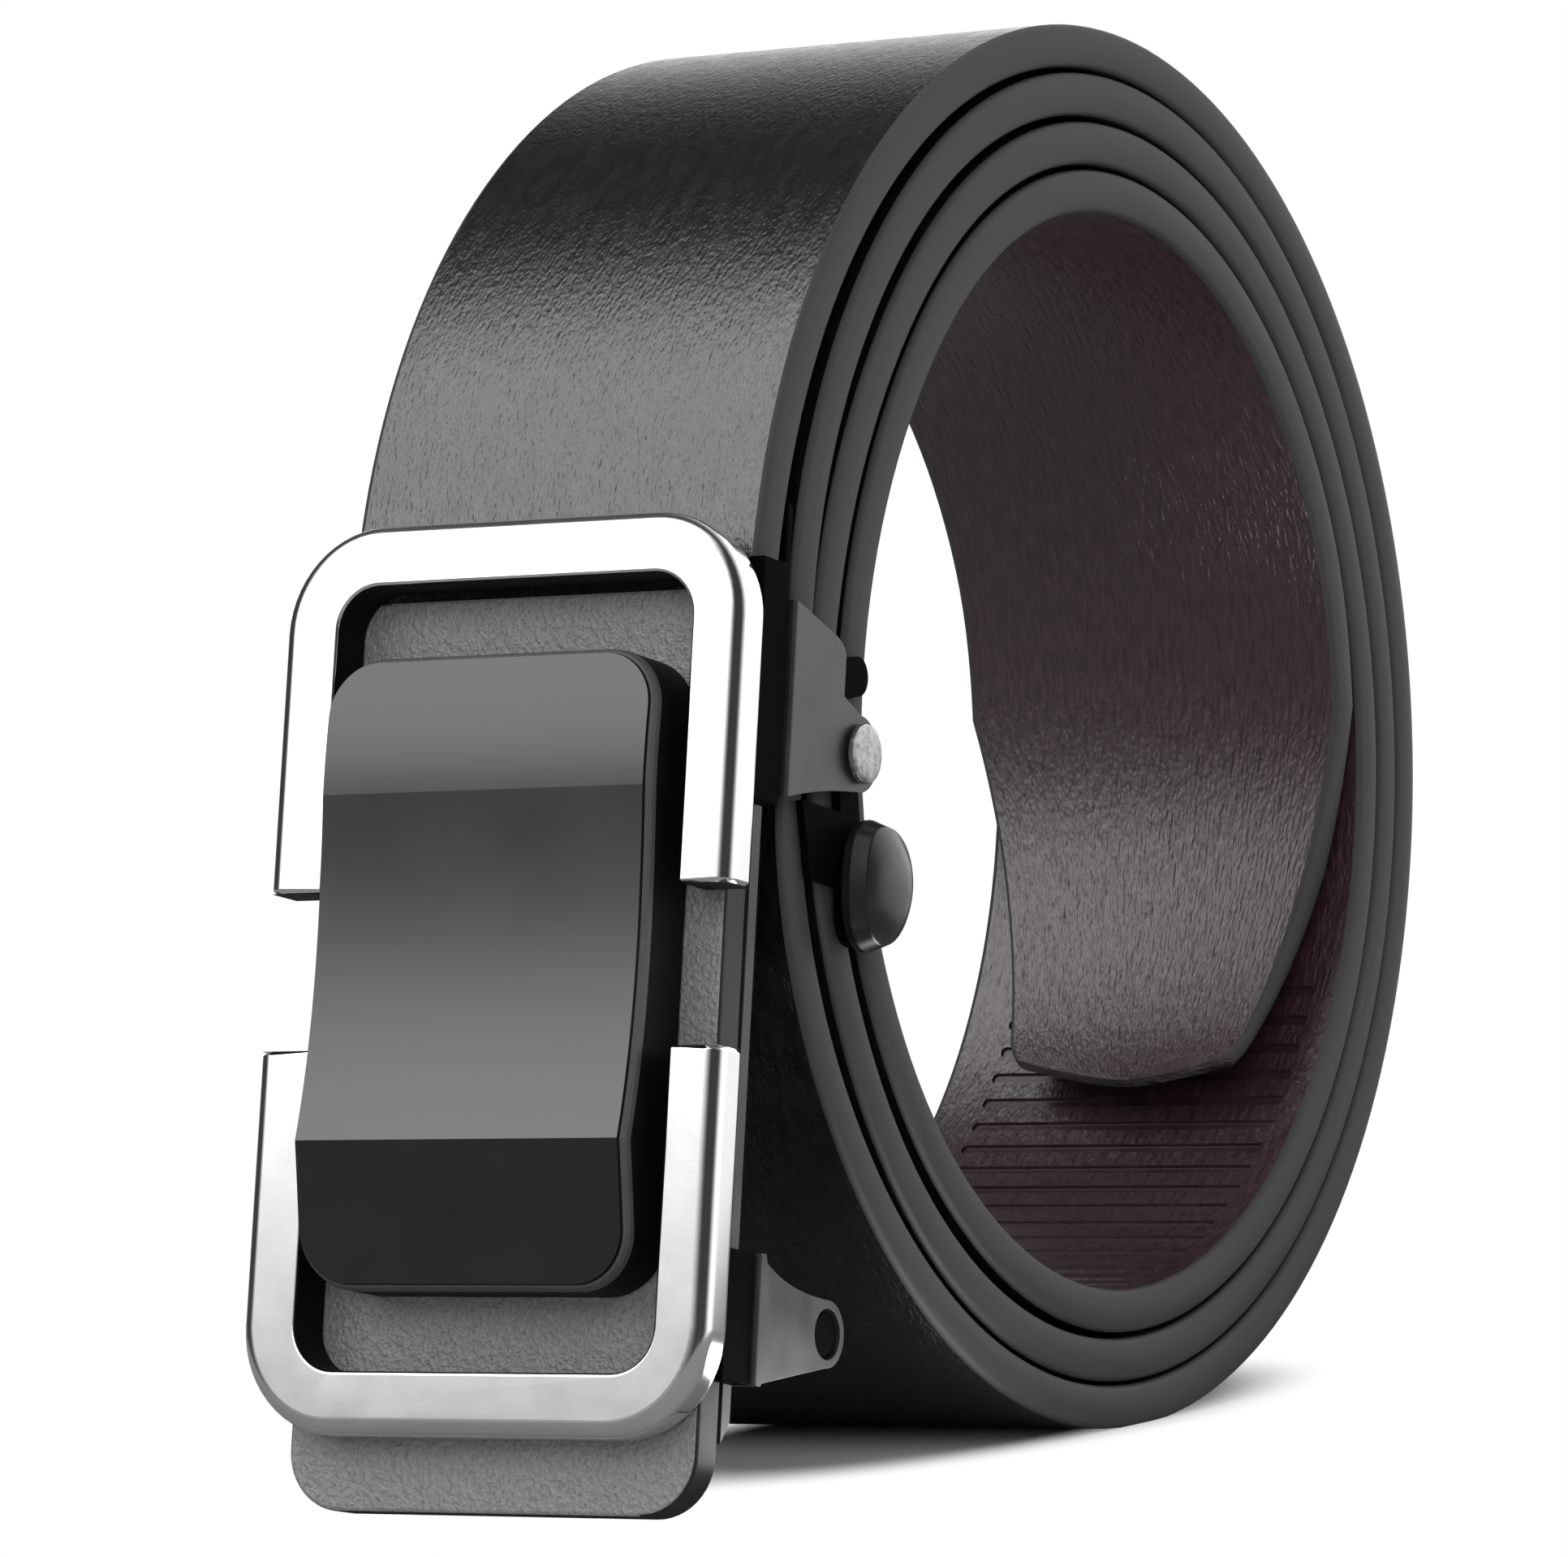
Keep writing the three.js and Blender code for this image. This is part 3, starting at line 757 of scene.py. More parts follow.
def bevel(
    bm: bmesh.types.BMesh,
    geom: Sequence[bmesh.types.BMVert | bmesh.types.BMEdge],
    width: float,
    steps: int,
    affect: str = "EDGES",
    clamped: bool = True,
) -> dict[str, Any]:
    """Rounds edges or an outline's corners.

    Args:
        bm: The mesh.
        geom: The edges or the corners.
        width: How far the rounding reaches.
        steps: How many faces or edges it is made of.
        affect: EDGES, or VERTICES for corners.
        clamped: Whether it stops where roundings meet.

    Returns:
        The new faces, edges and corners, by kind.
    """
    return bmesh.ops.bevel(
        bm,
        geom=geom,
        offset=width,
        segments=steps,
        profile=0.5,
        affect=affect,
        clamp_overlap=clamped,
        material=-1,
    )


def ease_edges(bm: bmesh.types.BMesh, width: float, steps: int = 2) -> None:
    """Rounds all edges that stand out.

    Args:
        bm: The mesh.
        width: How far the rounding reaches.
        steps: How many faces it is made of.
    """
    edges = [edge for edge in bm.edges if edge.calc_face_angle(0.0) > STARK_ANGLE]
    bevel(bm, edges, width, steps)


def pull_out(
    bm: bmesh.types.BMesh,
    faces: Sequence[bmesh.types.BMFace],
    shift: Sequence[float],
) -> tuple[list[bmesh.types.BMVert], list[bmesh.types.BMFace]]:
    """Pulls faces out of a mesh.

    Args:
        bm: The mesh.
        faces: The faces.
        shift: How far they are pulled.

    Returns:
        The pulled corners and faces.
    """
    pulled = bmesh.ops.extrude_face_region(bm, geom=faces)["geom"]
    verts = [item for item in pulled if isinstance(item, bmesh.types.BMVert)]
    bmesh.ops.translate(bm, verts=verts, vec=shift)
    return verts, [item for item in pulled if isinstance(item, bmesh.types.BMFace)]


def cut_level(bm: bmesh.types.BMesh, height: float) -> None:
    """Cuts a mesh's faces along a level plane, and keeps both parts.

    Args:
        bm: The mesh.
        height: The plane's height.
    """
    bmesh.ops.bisect_plane(
        bm,
        geom=bm.verts[:] + bm.edges[:] + bm.faces[:],
        plane_co=(0.0, 0.0, height),
        plane_no=(0.0, 0.0, 1.0),
    )


def smooth_curve(
    share: float,
    span: float,
    levels: tuple[float, float],
    slopes: tuple[float, float],
) -> float:
    """Reads a smooth curve between two points.

    Args:
        share: Where between the points, from 0 to 1.
        span: The distance between them.
        levels: The curve's heights at them.
        slopes: Its slopes at them.

    Returns:
        Its height.
    """
    square, cube = share**2, share**3
    held = 2 * cube - 3 * square + 1
    level = held * levels[0] + (1 - held) * levels[1]
    leaving = (cube - 2 * square + share) * span * slopes[0]
    arriving = (cube - square) * span * slopes[1]
    return level + leaving + arriving


def plate(corners: Sequence[Corner], near: float, far: float, steps: int = 10) -> bmesh.types.BMesh:
    """Makes a flat plate with rounded corners.

    Args:
        corners: The outline, seen from the front.
        near: Depth of its front.
        far: Depth of its back.
        steps: How many edges round a corner.

    Returns:
        The plate.
    """
    bm = bmesh.new()
    points = [bm.verts.new((corner.x, near, corner.up)) for corner in corners]
    bm.faces.new(points)
    for radius in sorted({corner.radius for corner in corners if corner.radius > 0}):
        chosen = [point for point, corner in zip(points, corners) if corner.radius == radius]
        bevel(bm, chosen, radius, steps, "VERTICES", clamped=False)
    pull_out(bm, bm.faces[:], (0.0, far - near, 0.0))
    bmesh.ops.recalc_face_normals(bm, faces=bm.faces)
    return bm


def carve(bm: bmesh.types.BMesh, cutter: bmesh.types.BMesh) -> bmesh.types.BMesh:
    """Cuts one mesh out of another.

    Args:
        bm: The mesh that is cut. It is used up.
        cutter: The mesh that is taken away. It is used up.

    Returns:
        What is left.
    """
    helpers = [add_mesh("whole", bm), add_mesh("cutter", cutter)]
    cut = helpers[0].modifiers.new("cut", "BOOLEAN")
    cut.operation = "DIFFERENCE"
    cut.solver = "EXACT"
    cut.material_mode = "INDEX"
    cut.object = helpers[1]
    graph = bpy.context.evaluated_depsgraph_get()
    result = bmesh.new()
    result.from_mesh(helpers[0].evaluated_get(graph).data)
    for helper in helpers:
        mesh = helper.data
        bpy.data.objects.remove(helper)
        bpy.data.meshes.remove(mesh)
    return result


# Strap


@dataclass
class Strap:
    """The strap: flat stock with painted edges, its tail cut to a taper, rolled into the coil."""

    bench: Workbench
    width: float = 35.0
    thickness: float = 3.4
    edge_round: float = 0.4
    edge_steps: int = 3
    edge_dome: float = 0.25
    dome_cuts: int = 5
    layer_gap: float = 0.3
    coil_depth: float = 114.2
    coil_height: float = 111.7
    clamp_lead: float = 0.2
    clamp_front: float = 5.6
    clamped_thickness: float = 2.6
    clamped_length: float = 18.2
    skive_drop: float = 3.0
    skive_length: float = 7.0
    skive_knee: float = 0.4
    seat_gap: float = 0.3
    tail_taper: float = 36.0
    tail_tip_width: float = 20.0
    tail_tip_round: float = 5.0
    tail_tip_bow: float = 2.6
    tail_lean: float = 1.8
    tail_skive: float = 22.0
    tail_thickness: float = 0.9
    tip_length: float = 6.0
    tip_cuts: int = 20
    cross_cuts: int = 11
    cut_spacing: float = 2.0
    groove_count: int = 23
    groove_pitch: float = 2.8
    groove_width: float = 1.2
    groove_floor: float = 0.8
    groove_depth: float = 0.25
    groove_length: float = 28.4
    groove_end_steps: int = 3
    track_lead: float = 12.8
    track_offset: float = 1.0
    rows: tuple[CoilRow, ...] = (
        CoilRow(4, -0.2, 0),
        CoilRow(40, 0, 0),
        CoilRow(82, 0, 0),
        CoilRow(175, 0, 0),
        CoilRow(270, 0, 0),
        CoilRow(318, 0.12, 0),
        CoilRow(333, 0.27, 0.1),
        CoilRow(343, 0.5, 0.4),
        CoilRow(350, 0.8, 0.95),
        CoilRow(358, 1, 1),
        CoilRow(368, 1, 1.15),
        CoilRow(394, 1, 1.15),
        CoilRow(442, 1, 0.05),
        CoilRow(530, 1, 0),
        CoilRow(622, 1, 0),
        CoilRow(660, 1.1, 0.25),
        CoilRow(696, 1.5, 0.9),
        CoilRow(726, 2, 1.5),
        CoilRow(752, 2, 2.1),
        CoilRow(802, 2, 0.2),
        CoilRow(890, 2, 0.05),
        CoilRow(978, 2, 0.1),
        CoilRow(1018, 2.12, 1.05),
        CoilRow(1047, 2.4, 1.8),
        CoilRow(1086, 3, 2.2),
        CoilRow(1112, 3, 2.55),
        CoilRow(1162, 3, 0.3),
        CoilRow(1230, 3, 0.15),
        CoilRow(1250, 3.1, 0.35),
        CoilRow(1296, 3.21, 0.35),
    )

    def __post_init__(self) -> None:
        """Works out the coil's centre, its clamp bulge and the places along the strap."""
        self.half = self.width / 2
        self.pitch = self.thickness + self.layer_gap
        self.centre = self.coil_depth / 2 + self.clamp_lead * self.pitch + self.clamp_front
        jaw_back = self.bench.span("clamp_jaw").high.y
        pressed = self.coil_depth / 2 - self.centre + jaw_back + self.seat_gap
        self.clamp_bulge = pressed / self.pitch - 1
        self.stations = self.make_stations()
        self.lengths = [station.length for station in self.stations]
        self.length = self.lengths[-1]

    def radius(self, turn: float) -> float:
        """Gives the outermost turn's radius.

        Args:
            turn: Degrees round the coil from the buckle.

        Returns:
            The radius in millimetres.
        """
        angle = math.radians(turn)
        depth = math.cos(angle) / (self.coil_depth / 2)
        height = math.sin(angle) / (self.coil_height / 2)
        return 1 / math.hypot(depth, height)

    def inset(self, row: CoilRow) -> float:
        """Gives how far inside the outermost turn a row lies."""
        return (row.layers + row.bulge * self.clamp_bulge) * self.pitch

    def slope(self, index: int) -> float:
        """Gives how fast the inset grows at a row.

        Args:
            index: The row's number.

        Returns:
            The growth in millimetres for each degree.
        """
        before = self.rows[max(index - 1, 0)]
        after = self.rows[min(index + 1, len(self.rows) - 1)]
        return (self.inset(after) - self.inset(before)) / (after.turn - before.turn)

    def inset_at(self, turn: float) -> float:
        """Gives the inset at any turn, on a smooth curve through the rows.

        Args:
            turn: Degrees round the coil from the buckle.

        Returns:
            The inset in millimetres.
        """
        turns = [row.turn for row in self.rows]
        index = min(max(bisect.bisect_left(turns, turn) - 1, 0), len(self.rows) - 2)
        start, end = self.rows[index], self.rows[index + 1]
        span = end.turn - start.turn
        levels = self.inset(start), self.inset(end)
        slopes = self.slope(index), self.slope(index + 1)
        return smooth_curve((turn - start.turn) / span, span, levels, slopes)

    def coil_point(self, turn: float, depth_in_layer: float) -> Vector:
        """Gives a point of the coil.

        Args:
            turn: Degrees round the coil from the buckle.
            depth_in_layer: Distance in from the layer's outer face.

        Returns:
            Its depth and height.
        """
        angle = math.radians(turn)
        radius = self.radius(turn) - self.inset_at(turn) - depth_in_layer
        return Vector((self.centre - math.cos(angle) * radius, math.sin(angle) * radius))

    def make_stations(self) -> list[Station]:
        """Lists the strap's places from its clamped end to the tip of its tail.

        Returns:
            The stations, one for each degree of the coil.
        """
        top = self.bench.top_rise
        skive_up = top - self.skive_drop - self.skive_length
        knee_up = skive_up + self.skive_length * (1 - self.skive_knee)
        knee = (self.clamped_thickness + self.thickness) / 2
        pairs = [
            (Vector((self.clamp_front, up)), Vector((self.clamp_front + thickness, up)))
            for up, thickness in (
                (top - self.clamped_length, self.clamped_thickness),
                (skive_up, self.clamped_thickness),
                (knee_up, knee),
            )
        ]
        first, last = int(self.rows[0].turn), int(self.rows[-1].turn)
        for turn in range(first, last + 1):
            pairs.append((self.coil_point(turn, 0.0), self.coil_point(turn, self.thickness)))
        length = 0.0
        stations = [Station(length, *pairs[0])]
        for before, after in zip(pairs, pairs[1:]):
            length += ((after[0] + after[1]) / 2 - (before[0] + before[1]) / 2).length
            stations.append(Station(length, *after))
        return stations

    def half_width(self, left: float) -> float:
        """Gives the tail's half width.

        Args:
            left: Length left to the tip.

        Returns:
            The half width in millimetres.
        """
        tip = self.tail_tip_width / 2
        straight = self.half - (self.half - tip) * max(1 - left / self.tail_taper, 0.0)
        within = min(max(self.tail_tip_round - left, 0.0), self.tail_tip_round)
        return straight - self.tail_tip_round + math.sqrt(self.tail_tip_round**2 - within**2)

    def flat_stock(self) -> bmesh.types.BMesh:
        """Makes the strap flat: across in x, through its thickness in y, along in z.

        Returns:
            The strap, cut into short stretches, with its surfaces numbered and mapped.
        """
        bm = bmesh.new()
        bmesh.ops.create_grid(bm, x_segments=1, y_segments=1, size=0.5)
        bmesh.ops.scale(bm, vec=(self.width, self.thickness, 1.0), verts=bm.verts)
        bmesh.ops.translate(bm, vec=(0.0, self.thickness / 2, 0.0), verts=bm.verts)
        bevel(bm, bm.verts[:], self.edge_round, self.edge_steps, "VERTICES")
        side = self.half - SAME_PLACE
        sides = [edge for edge in bm.edges if all(abs(v.co.x) > side for v in edge.verts)]
        bmesh.ops.subdivide_edges(bm, edges=sides, cuts=self.dome_cuts)
        flats = [edge for edge in bm.edges if edge.calc_length() > self.half]
        bmesh.ops.subdivide_edges(bm, edges=flats, cuts=self.cross_cuts)
        pull_out(bm, bm.faces[:], (0.0, 0.0, self.length))
        tip_start = self.length - self.tip_length
        cut_level(bm, tip_start)
        cuts = {False: int(tip_start / self.cut_spacing), True: self.tip_cuts}
        for at_tip, count in cuts.items():
            edges = []
            for edge in bm.edges:
                first, last = (vertex.co.z for vertex in edge.verts)
                lengthwise = abs(first - last) > self.tip_length / 2
                if lengthwise and ((first + last) / 2 > tip_start) == at_tip:
                    edges.append(edge)
            bmesh.ops.subdivide_edges(bm, edges=edges, cuts=count)
        self.number_surfaces(bm)
        return bm

    def number_surfaces(self, bm: bmesh.types.BMesh) -> None:
        """Numbers the flat strap's surfaces and maps them in metres along and across.

        Args:
            bm: The flat strap.
        """
        layer = bm.loops.layers.uv.new("strap")
        for face in bm.faces:
            middle = face.calc_center_median()
            if abs(middle.x) > self.half - self.edge_round or middle.z in (0.0, self.length):
                face.material_index = Surface.EDGE
            elif middle.y < self.thickness / 2:
                face.material_index = Surface.FACE
            else:
                face.material_index = Surface.LINING
            for loop in face.loops:
                co = loop.vert.co
                loop[layer].uv = ((co.x + co.y) * MM, co.z * MM)

    def roll_up(self, bm: bmesh.types.BMesh) -> None:
        """Cuts the tail to its taper and rolls the flat strap into the coil.

        Args:
            bm: The flat strap.
        """
        for vertex in bm.verts:
            x, y, along = vertex.co
            near_tip = min(max(1 - (self.length - along) / self.tip_length, 0.0), 1.0)
            along -= self.tail_tip_bow * near_tip * (x / self.half) ** 2
            level = 2 * y / self.thickness - 1
            if abs(x) > self.half - self.edge_round:
                x += math.copysign(self.edge_dome * (1 - level**2), x)
            left = self.length - along
            narrowed = self.half_width(left) / self.half
            x = x * narrowed + self.tail_lean * (1 - narrowed) / (1 - self.tail_tip_width / self.width)
            skived = min(max(left / self.tail_skive, 0.0), 1.0)
            thinned = self.tail_thickness + (self.thickness - self.tail_thickness) * skived
            y = self.thickness - (self.thickness - y) * thinned / self.thickness
            index = min(max(bisect.bisect_left(self.lengths, along), 1), len(self.lengths) - 1)
            before, after = self.stations[index - 1], self.stations[index]
            share = (along - before.length) / (after.length - before.length)
            outer = before.outer.lerp(after.outer, share)
            inner = before.inner.lerp(after.inner, share)
            point = outer.lerp(inner, y / self.thickness)
            vertex.co = (x, point.x, point.y)

    def groove_cutters(self) -> bmesh.types.BMesh:
        """Makes the bars that press the ratchet track's grooves.

        Returns:
            The bars, each where it enters the lining.
        """
        tip_turn = self.rows[-1].turn
        tip_radius = self.radius(tip_turn) - self.inset_at(tip_turn)
        first = tip_turn - 360 - math.degrees(self.track_lead / tip_radius)
        radius = self.radius(first) - self.inset_at(first) - self.thickness
        bars = bmesh.new()
        for number in range(self.groove_count):
            turn = first + math.degrees(number * self.groove_pitch / radius)
            bar = bmesh.ops.create_cube(bars, size=1.0)["verts"]
            size = (self.groove_length, self.groove_width, 2 * self.groove_depth)
            bmesh.ops.scale(bars, vec=size, verts=bar)
            pressed = [vertex for vertex in bar if vertex.co.z > 0]
            narrow = self.groove_floor / self.groove_width
            bmesh.ops.scale(bars, vec=(1.0, narrow, 1.0), verts=pressed)
            upright = [
                edge
                for edge in {edge for vertex in bar for edge in vertex.link_edges}
                if abs(edge.verts[0].co.z - edge.verts[1].co.z) > self.groove_depth
            ]
            rounded = bevel(bars, upright, self.groove_floor / 2, self.groove_end_steps)
            verts = {vertex for face in rounded["faces"] for vertex in face.verts}
            place = self.coil_point(turn, self.thickness)
            tangent = math.radians(turn)
            matrix = Matrix.Translation((self.track_offset, place.x, place.y)) @ Matrix(
                (
                    (1.0, 0.0, 0.0, 0.0),
                    (0.0, math.sin(tangent), -math.cos(tangent), 0.0),
                    (0.0, math.cos(tangent), math.sin(tangent), 0.0),
                    (0.0, 0.0, 0.0, 1.0),
                )
            )
            bmesh.ops.transform(bars, matrix=matrix, verts=list(verts))
        bmesh.ops.recalc_face_normals(bars, faces=bars.faces)
        for face in bars.faces:
            face.material_index = Surface.GROOVE
        return bars

    def build(self) -> None:
        """Makes the strap and hangs it on the belt."""
        bm = self.flat_stock()
        self.roll_up(bm)
        bmesh.ops.recalc_face_normals(bm, faces=bm.faces)
        bm = carve(bm, self.groove_cutters())
        finishes = (STRAP_LEATHER, EDGE_PAINT, LINING, GROOVE)
        self.bench.finish(bm, "strap_coil", finishes, "strap_leather", ["strap"])


# Buckle front


@dataclass
class ChromeFrame:
    """The two halves of the chromed frame: each a bar with two legs."""

    bench: Workbench
    bar: float = 4.7
    right_leg: float = 4.3
    left_leg: float = 4.9
    side_room: float = 0.3
    upper_drop: float = 0.4
    outer_radius: float = 8.0
    inner_radius: float = 3.4
    corner_steps: int = 14
    outer_ease: float = 1.3
    inner_ease: float = 0.3
    outer_steps: int = 6
    inner_steps: int = 3
    back_reach: float = 0.3
    square_angle: float = math.radians(60.0)
    slack: float = 0.01

    def build(self) -> None:
        """Makes both halves."""
        for node, upward in (("frame_upper", 1), ("frame_lower", -1)):
            span = self.bench.span(node)
            top, bottom = span.high.z, span.low.z
            bar_end, leg_end = (top, bottom - self.upper_drop) if upward > 0 else (bottom, top)
            self.build_half(node, span, bar_end, leg_end, upward)

    def build_half(self, node: str, span: Span, bar_end: float, leg_end: float, upward: int) -> None:
        """Makes one half.

        Args:
            node: The node that it replaces.
            span: That node's corners.
            bar_end: Height of the bar's outer edge.
            leg_end: Height at which the legs end.
            upward: 1 where the bar is at the top, -1 where it is at the bottom.
        """
        half = span.high.x + self.side_room
        right, left = half - self.right_leg, self.left_leg - half
        bar_inner = bar_end - upward * self.bar
        corners = [
            Corner(-half, leg_end, 0.0),
            Corner(-half, bar_end, self.outer_radius),
            Corner(half, bar_end, self.outer_radius),
            Corner(half, leg_end, 0.0),
            Corner(right, leg_end, 0.0),
            Corner(right, bar_inner, self.inner_radius),
            Corner(left, bar_inner, self.inner_radius),
            Corner(left, leg_end, 0.0),
        ]
        bm = plate(corners, span.low.y, span.high.y + self.back_reach, self.corner_steps)
        window = Window(left, right, bar_inner, leg_end, upward)
        # The window's inner walls and the legs' ends are painted near-black as shade.
        for face in bm.faces:
            at_side = abs(face.normal.y) < FACING
            if at_side and window.holds([face.calc_center_median()], SAME_PLACE):
                face.material_index = Trim.SIDE
        bevel(bm, self.square_edges(bm, window, True), self.inner_ease, self.inner_steps)
        bevel(bm, self.square_edges(bm, window, False), self.outer_ease, self.outer_steps)
        # The bevel gives the faces at a leg's outer corner the finish of either neighbour by chance.
        for face in bm.faces:
            middle = face.calc_center_median()
            outside = abs(middle.x) > half - self.outer_ease
            if outside and abs(middle.z - leg_end) < self.outer_ease:
                face.material_index = Trim.FRONT
        finishes = (SATIN_CHROME, PAINTED_RECESS_SHADE)
        self.bench.finish(bm, f"{node}_cast", finishes, "satin_chrome", [node])

    def square_edges(
        self,
        bm: bmesh.types.BMesh,
        window: Window,
        inside: bool,
    ) -> list[bmesh.types.BMEdge]:
        """Lists the right-angled edges of one kind.

        Args:
            bm: The half's mesh.
            window: The half's window.
            inside: Whether the edges of the window and of the legs' ends are wanted, or the others.

        Returns:
            The edges.
        """
        return [
            edge
            for edge in bm.edges
            if edge.calc_face_angle(0.0) > self.square_angle
            and window.holds([vertex.co for vertex in edge.verts], self.slack) == inside
        ]


@dataclass
class WavePlate:
    """The smooth plate inside the frame, with two cross creases and a small lip round its front."""

    bench: Workbench
    corner_radius: float = 4.5
    corner_steps: int = 30
    side_room: float = 0.6
    rim_width: float = 0.4
    rim_depth: float = 0.9
    rim_steps: int = 3
    step_width: float = 0.05
    step_depth: float = 0.3
    row_height: float = 0.9
    seam: float = 1e-6
    crease_angle: float = math.radians(1.5)
    facets: tuple[Facet, ...] = (
        Facet(0.0, 0.22, 2.05, 2.5, 0.07, -0.03),
        Facet(0.22, 0.77, 2.5, 3.4, -0.07, 0.2),
        Facet(0.77, 1.0, 3.4, 1.4, -0.2, -0.17),
    )

    def rise(self, share: float, length: float) -> float:
        """Gives how far the plate stands before the frame.

        Args:
            share: Where along the plate, from its top.
            length: The plate's length.

        Returns:
            The rise in millimetres.
        """
        facet = next(item for item in self.facets if share <= item.end + self.seam)
        part = facet.end - facet.start
        levels = facet.start_rise, facet.end_rise
        slopes = facet.start_slope, facet.end_slope
        return smooth_curve((share - facet.start) / part, part * length, levels, slopes)

    def build(self) -> None:
        """Makes the plate."""
        low, high = self.bench.span("wave_plate")
        half, radius = high.x + self.side_room, self.corner_radius
        corners = [
            Corner(x, up, radius)
            for x, up in ((-half, low.z), (half, low.z), (half, high.z), (-half, high.z))
        ]
        bm = plate(corners, 0.0, high.y, self.corner_steps)
        length = high.z - low.z
        for facet in self.facets:
            count = max(round((facet.end - facet.start) * length / self.row_height), 1)
            for step in range(1, count + 1):
                share = facet.start + (facet.end - facet.start) * step / count
                if share < 1.0:
                    cut_level(bm, high.z - length * share)
        bm.normal_update()
        front = [face for face in bm.faces if face.normal.y < -FACING]
        # Every face but the front, so the sides and the back, is painted near-black as shade.
        for face in bm.faces:
            face.material_index = Trim.FRONT if face.normal.y < -FACING else Trim.BASE
        back = self.step_depth + self.rim_depth
        for vertex in {vertex for face in front for vertex in face.verts}:
            vertex.co.y = back - self.rise(min((high.z - vertex.co.z) / length, 1.0), length)
        bm.normal_update()
        before = (0.0, 0.0)
        for step in range(1, self.rim_steps + 1):
            angle = math.pi / 2 * step / self.rim_steps
            after = (self.rim_width * (1 - math.cos(angle)), self.rim_depth * math.sin(angle))
            inward, forward = after[0] - before[0], after[1] - before[1]
            self.raise_front(bm, front, inward, forward, Trim.SIDE)
            before = after
        # The last thin step is a painted line of shade round the front.
        self.raise_front(bm, front, self.step_width, self.step_depth, Trim.BASE)
        finishes = (GUNMETAL, GUNMETAL_RIM, PAINTED_RECESS_SHADE)
        self.bench.finish(
            bm,
            "wave_plate_polished",
            finishes,
            "gunmetal",
            ["wave_plate"],
            sharp_angle=self.crease_angle,
        )

    def raise_front(
        self,
        bm: bmesh.types.BMesh,
        front: Sequence[bmesh.types.BMFace],
        inward: float,
        forward: float,
        surface: Trim,
    ) -> None:
        """Steps the front in from its outline and forward.

        Args:
            bm: The plate.
            front: The faces of its front.
            inward: How far in the step goes.
            forward: How far forward it goes.
            surface: The step's kind of surface.
        """
        rim = bmesh.ops.inset_region(bm, faces=front, thickness=inward, depth=0.0)
        verts = list({vertex for face in front for vertex in face.verts})
        bmesh.ops.translate(bm, vec=(0.0, -forward, 0.0), verts=verts)
        for face in rim["faces"]:
            face.material_index = surface


@dataclass
class FacePlate:
    """The grained plate behind the frame."""

    bench: Workbench
    ease: float = 0.35
    ease_steps: int = 3

    def build(self) -> None:
        """Makes the plate."""
        bm = self.bench.copy("face_plate")
        for face in bm.faces:
            face.material_index = Trim.SIDE if abs(face.normal.y) < FACING else Trim.FRONT
        ease_edges(bm, self.ease, self.ease_steps)
        finishes = (GRAINED_PLATE, PLATE_SIDE)
        self.bench.finish(bm, "face_plate_grained", finishes, "grained_plate", ["face_plate"])


# Buckle back and mechanism


@dataclass
class BasePlate:
    """The sheet behind the face plate, bent out into the flanges and ears."""

    bench: Workbench
    bend_radius: float = 0.55
    bend_steps: int = 4
    bend_angle: float = 1.0
    upright: float = 10.0
    ease: float = 0.08
    reach: float = 0.05

    def build(self) -> None:
        """Makes the sheet with its rounded bends, which are its upright outer edges at the front."""
        bm = self.bench.copy("base_plate")
        side = self.bench.span("base_plate").high.x
        bends = []
        for edge in bm.edges:
            if edge.calc_face_angle(0.0) > self.bend_angle:
                first, last = (vertex.co for vertex in edge.verts)
                outside = all(abs(abs(end.x) - side) < self.reach for end in (first, last))
                upright = abs(first.z - last.z) > self.upright * abs(first.y - last.y)
                if outside and upright and first.y < side / 2:
                    bends.append(edge)
        bevel(bm, bends, self.bend_radius, self.bend_steps)
        ease_edges(bm, self.ease)
        self.bench.finish(bm, "base_plate_sheet", (SATIN_SHEET,), "satin_steel", ["base_plate"])


@dataclass
class SmallSteel:
    """The black bars, the clamp's sheet, the pawl and the cross bar."""

    bench: Workbench
    ease: float = 0.15
    pin_steps: int = 32
    pin_ease_steps: int = 3

    def build(self) -> None:
        """Makes each piece from its solid, with eased edges."""
        rails = [f"rail_{height}_{side.name.lower()}" for height in ("upper", "lower") for side in Side]
        for node in [*rails, "clamp_jaw", "pawl_plate"]:
            bm = self.bench.copy(node)
            ease_edges(bm, self.ease)
            self.bench.finish(bm, f"{node}_eased", (BLACK_STEEL,), "black_steel", [node])
        self.build_pin()

    def build_pin(self) -> None:
        """Makes the cross bar."""
        low, high = self.bench.span("keeper_pin")
        middle = (low + high) / 2
        radius = (high.z - low.z) / 2
        bm = bmesh.new()
        bmesh.ops.create_cone(
            bm,
            cap_ends=True,
            segments=self.pin_steps,
            radius1=radius,
            radius2=radius,
            depth=high.x - low.x,
        )
        bmesh.ops.rotate(bm, matrix=Matrix.Rotation(math.pi / 2, 3, "Y"), verts=bm.verts)
        bmesh.ops.translate(bm, vec=middle, verts=bm.verts)
        ease_edges(bm, self.ease, self.pin_ease_steps)
        self.bench.finish(bm, "keeper_pin_round", (BLACK_STEEL,), "black_steel", ["keeper_pin"])


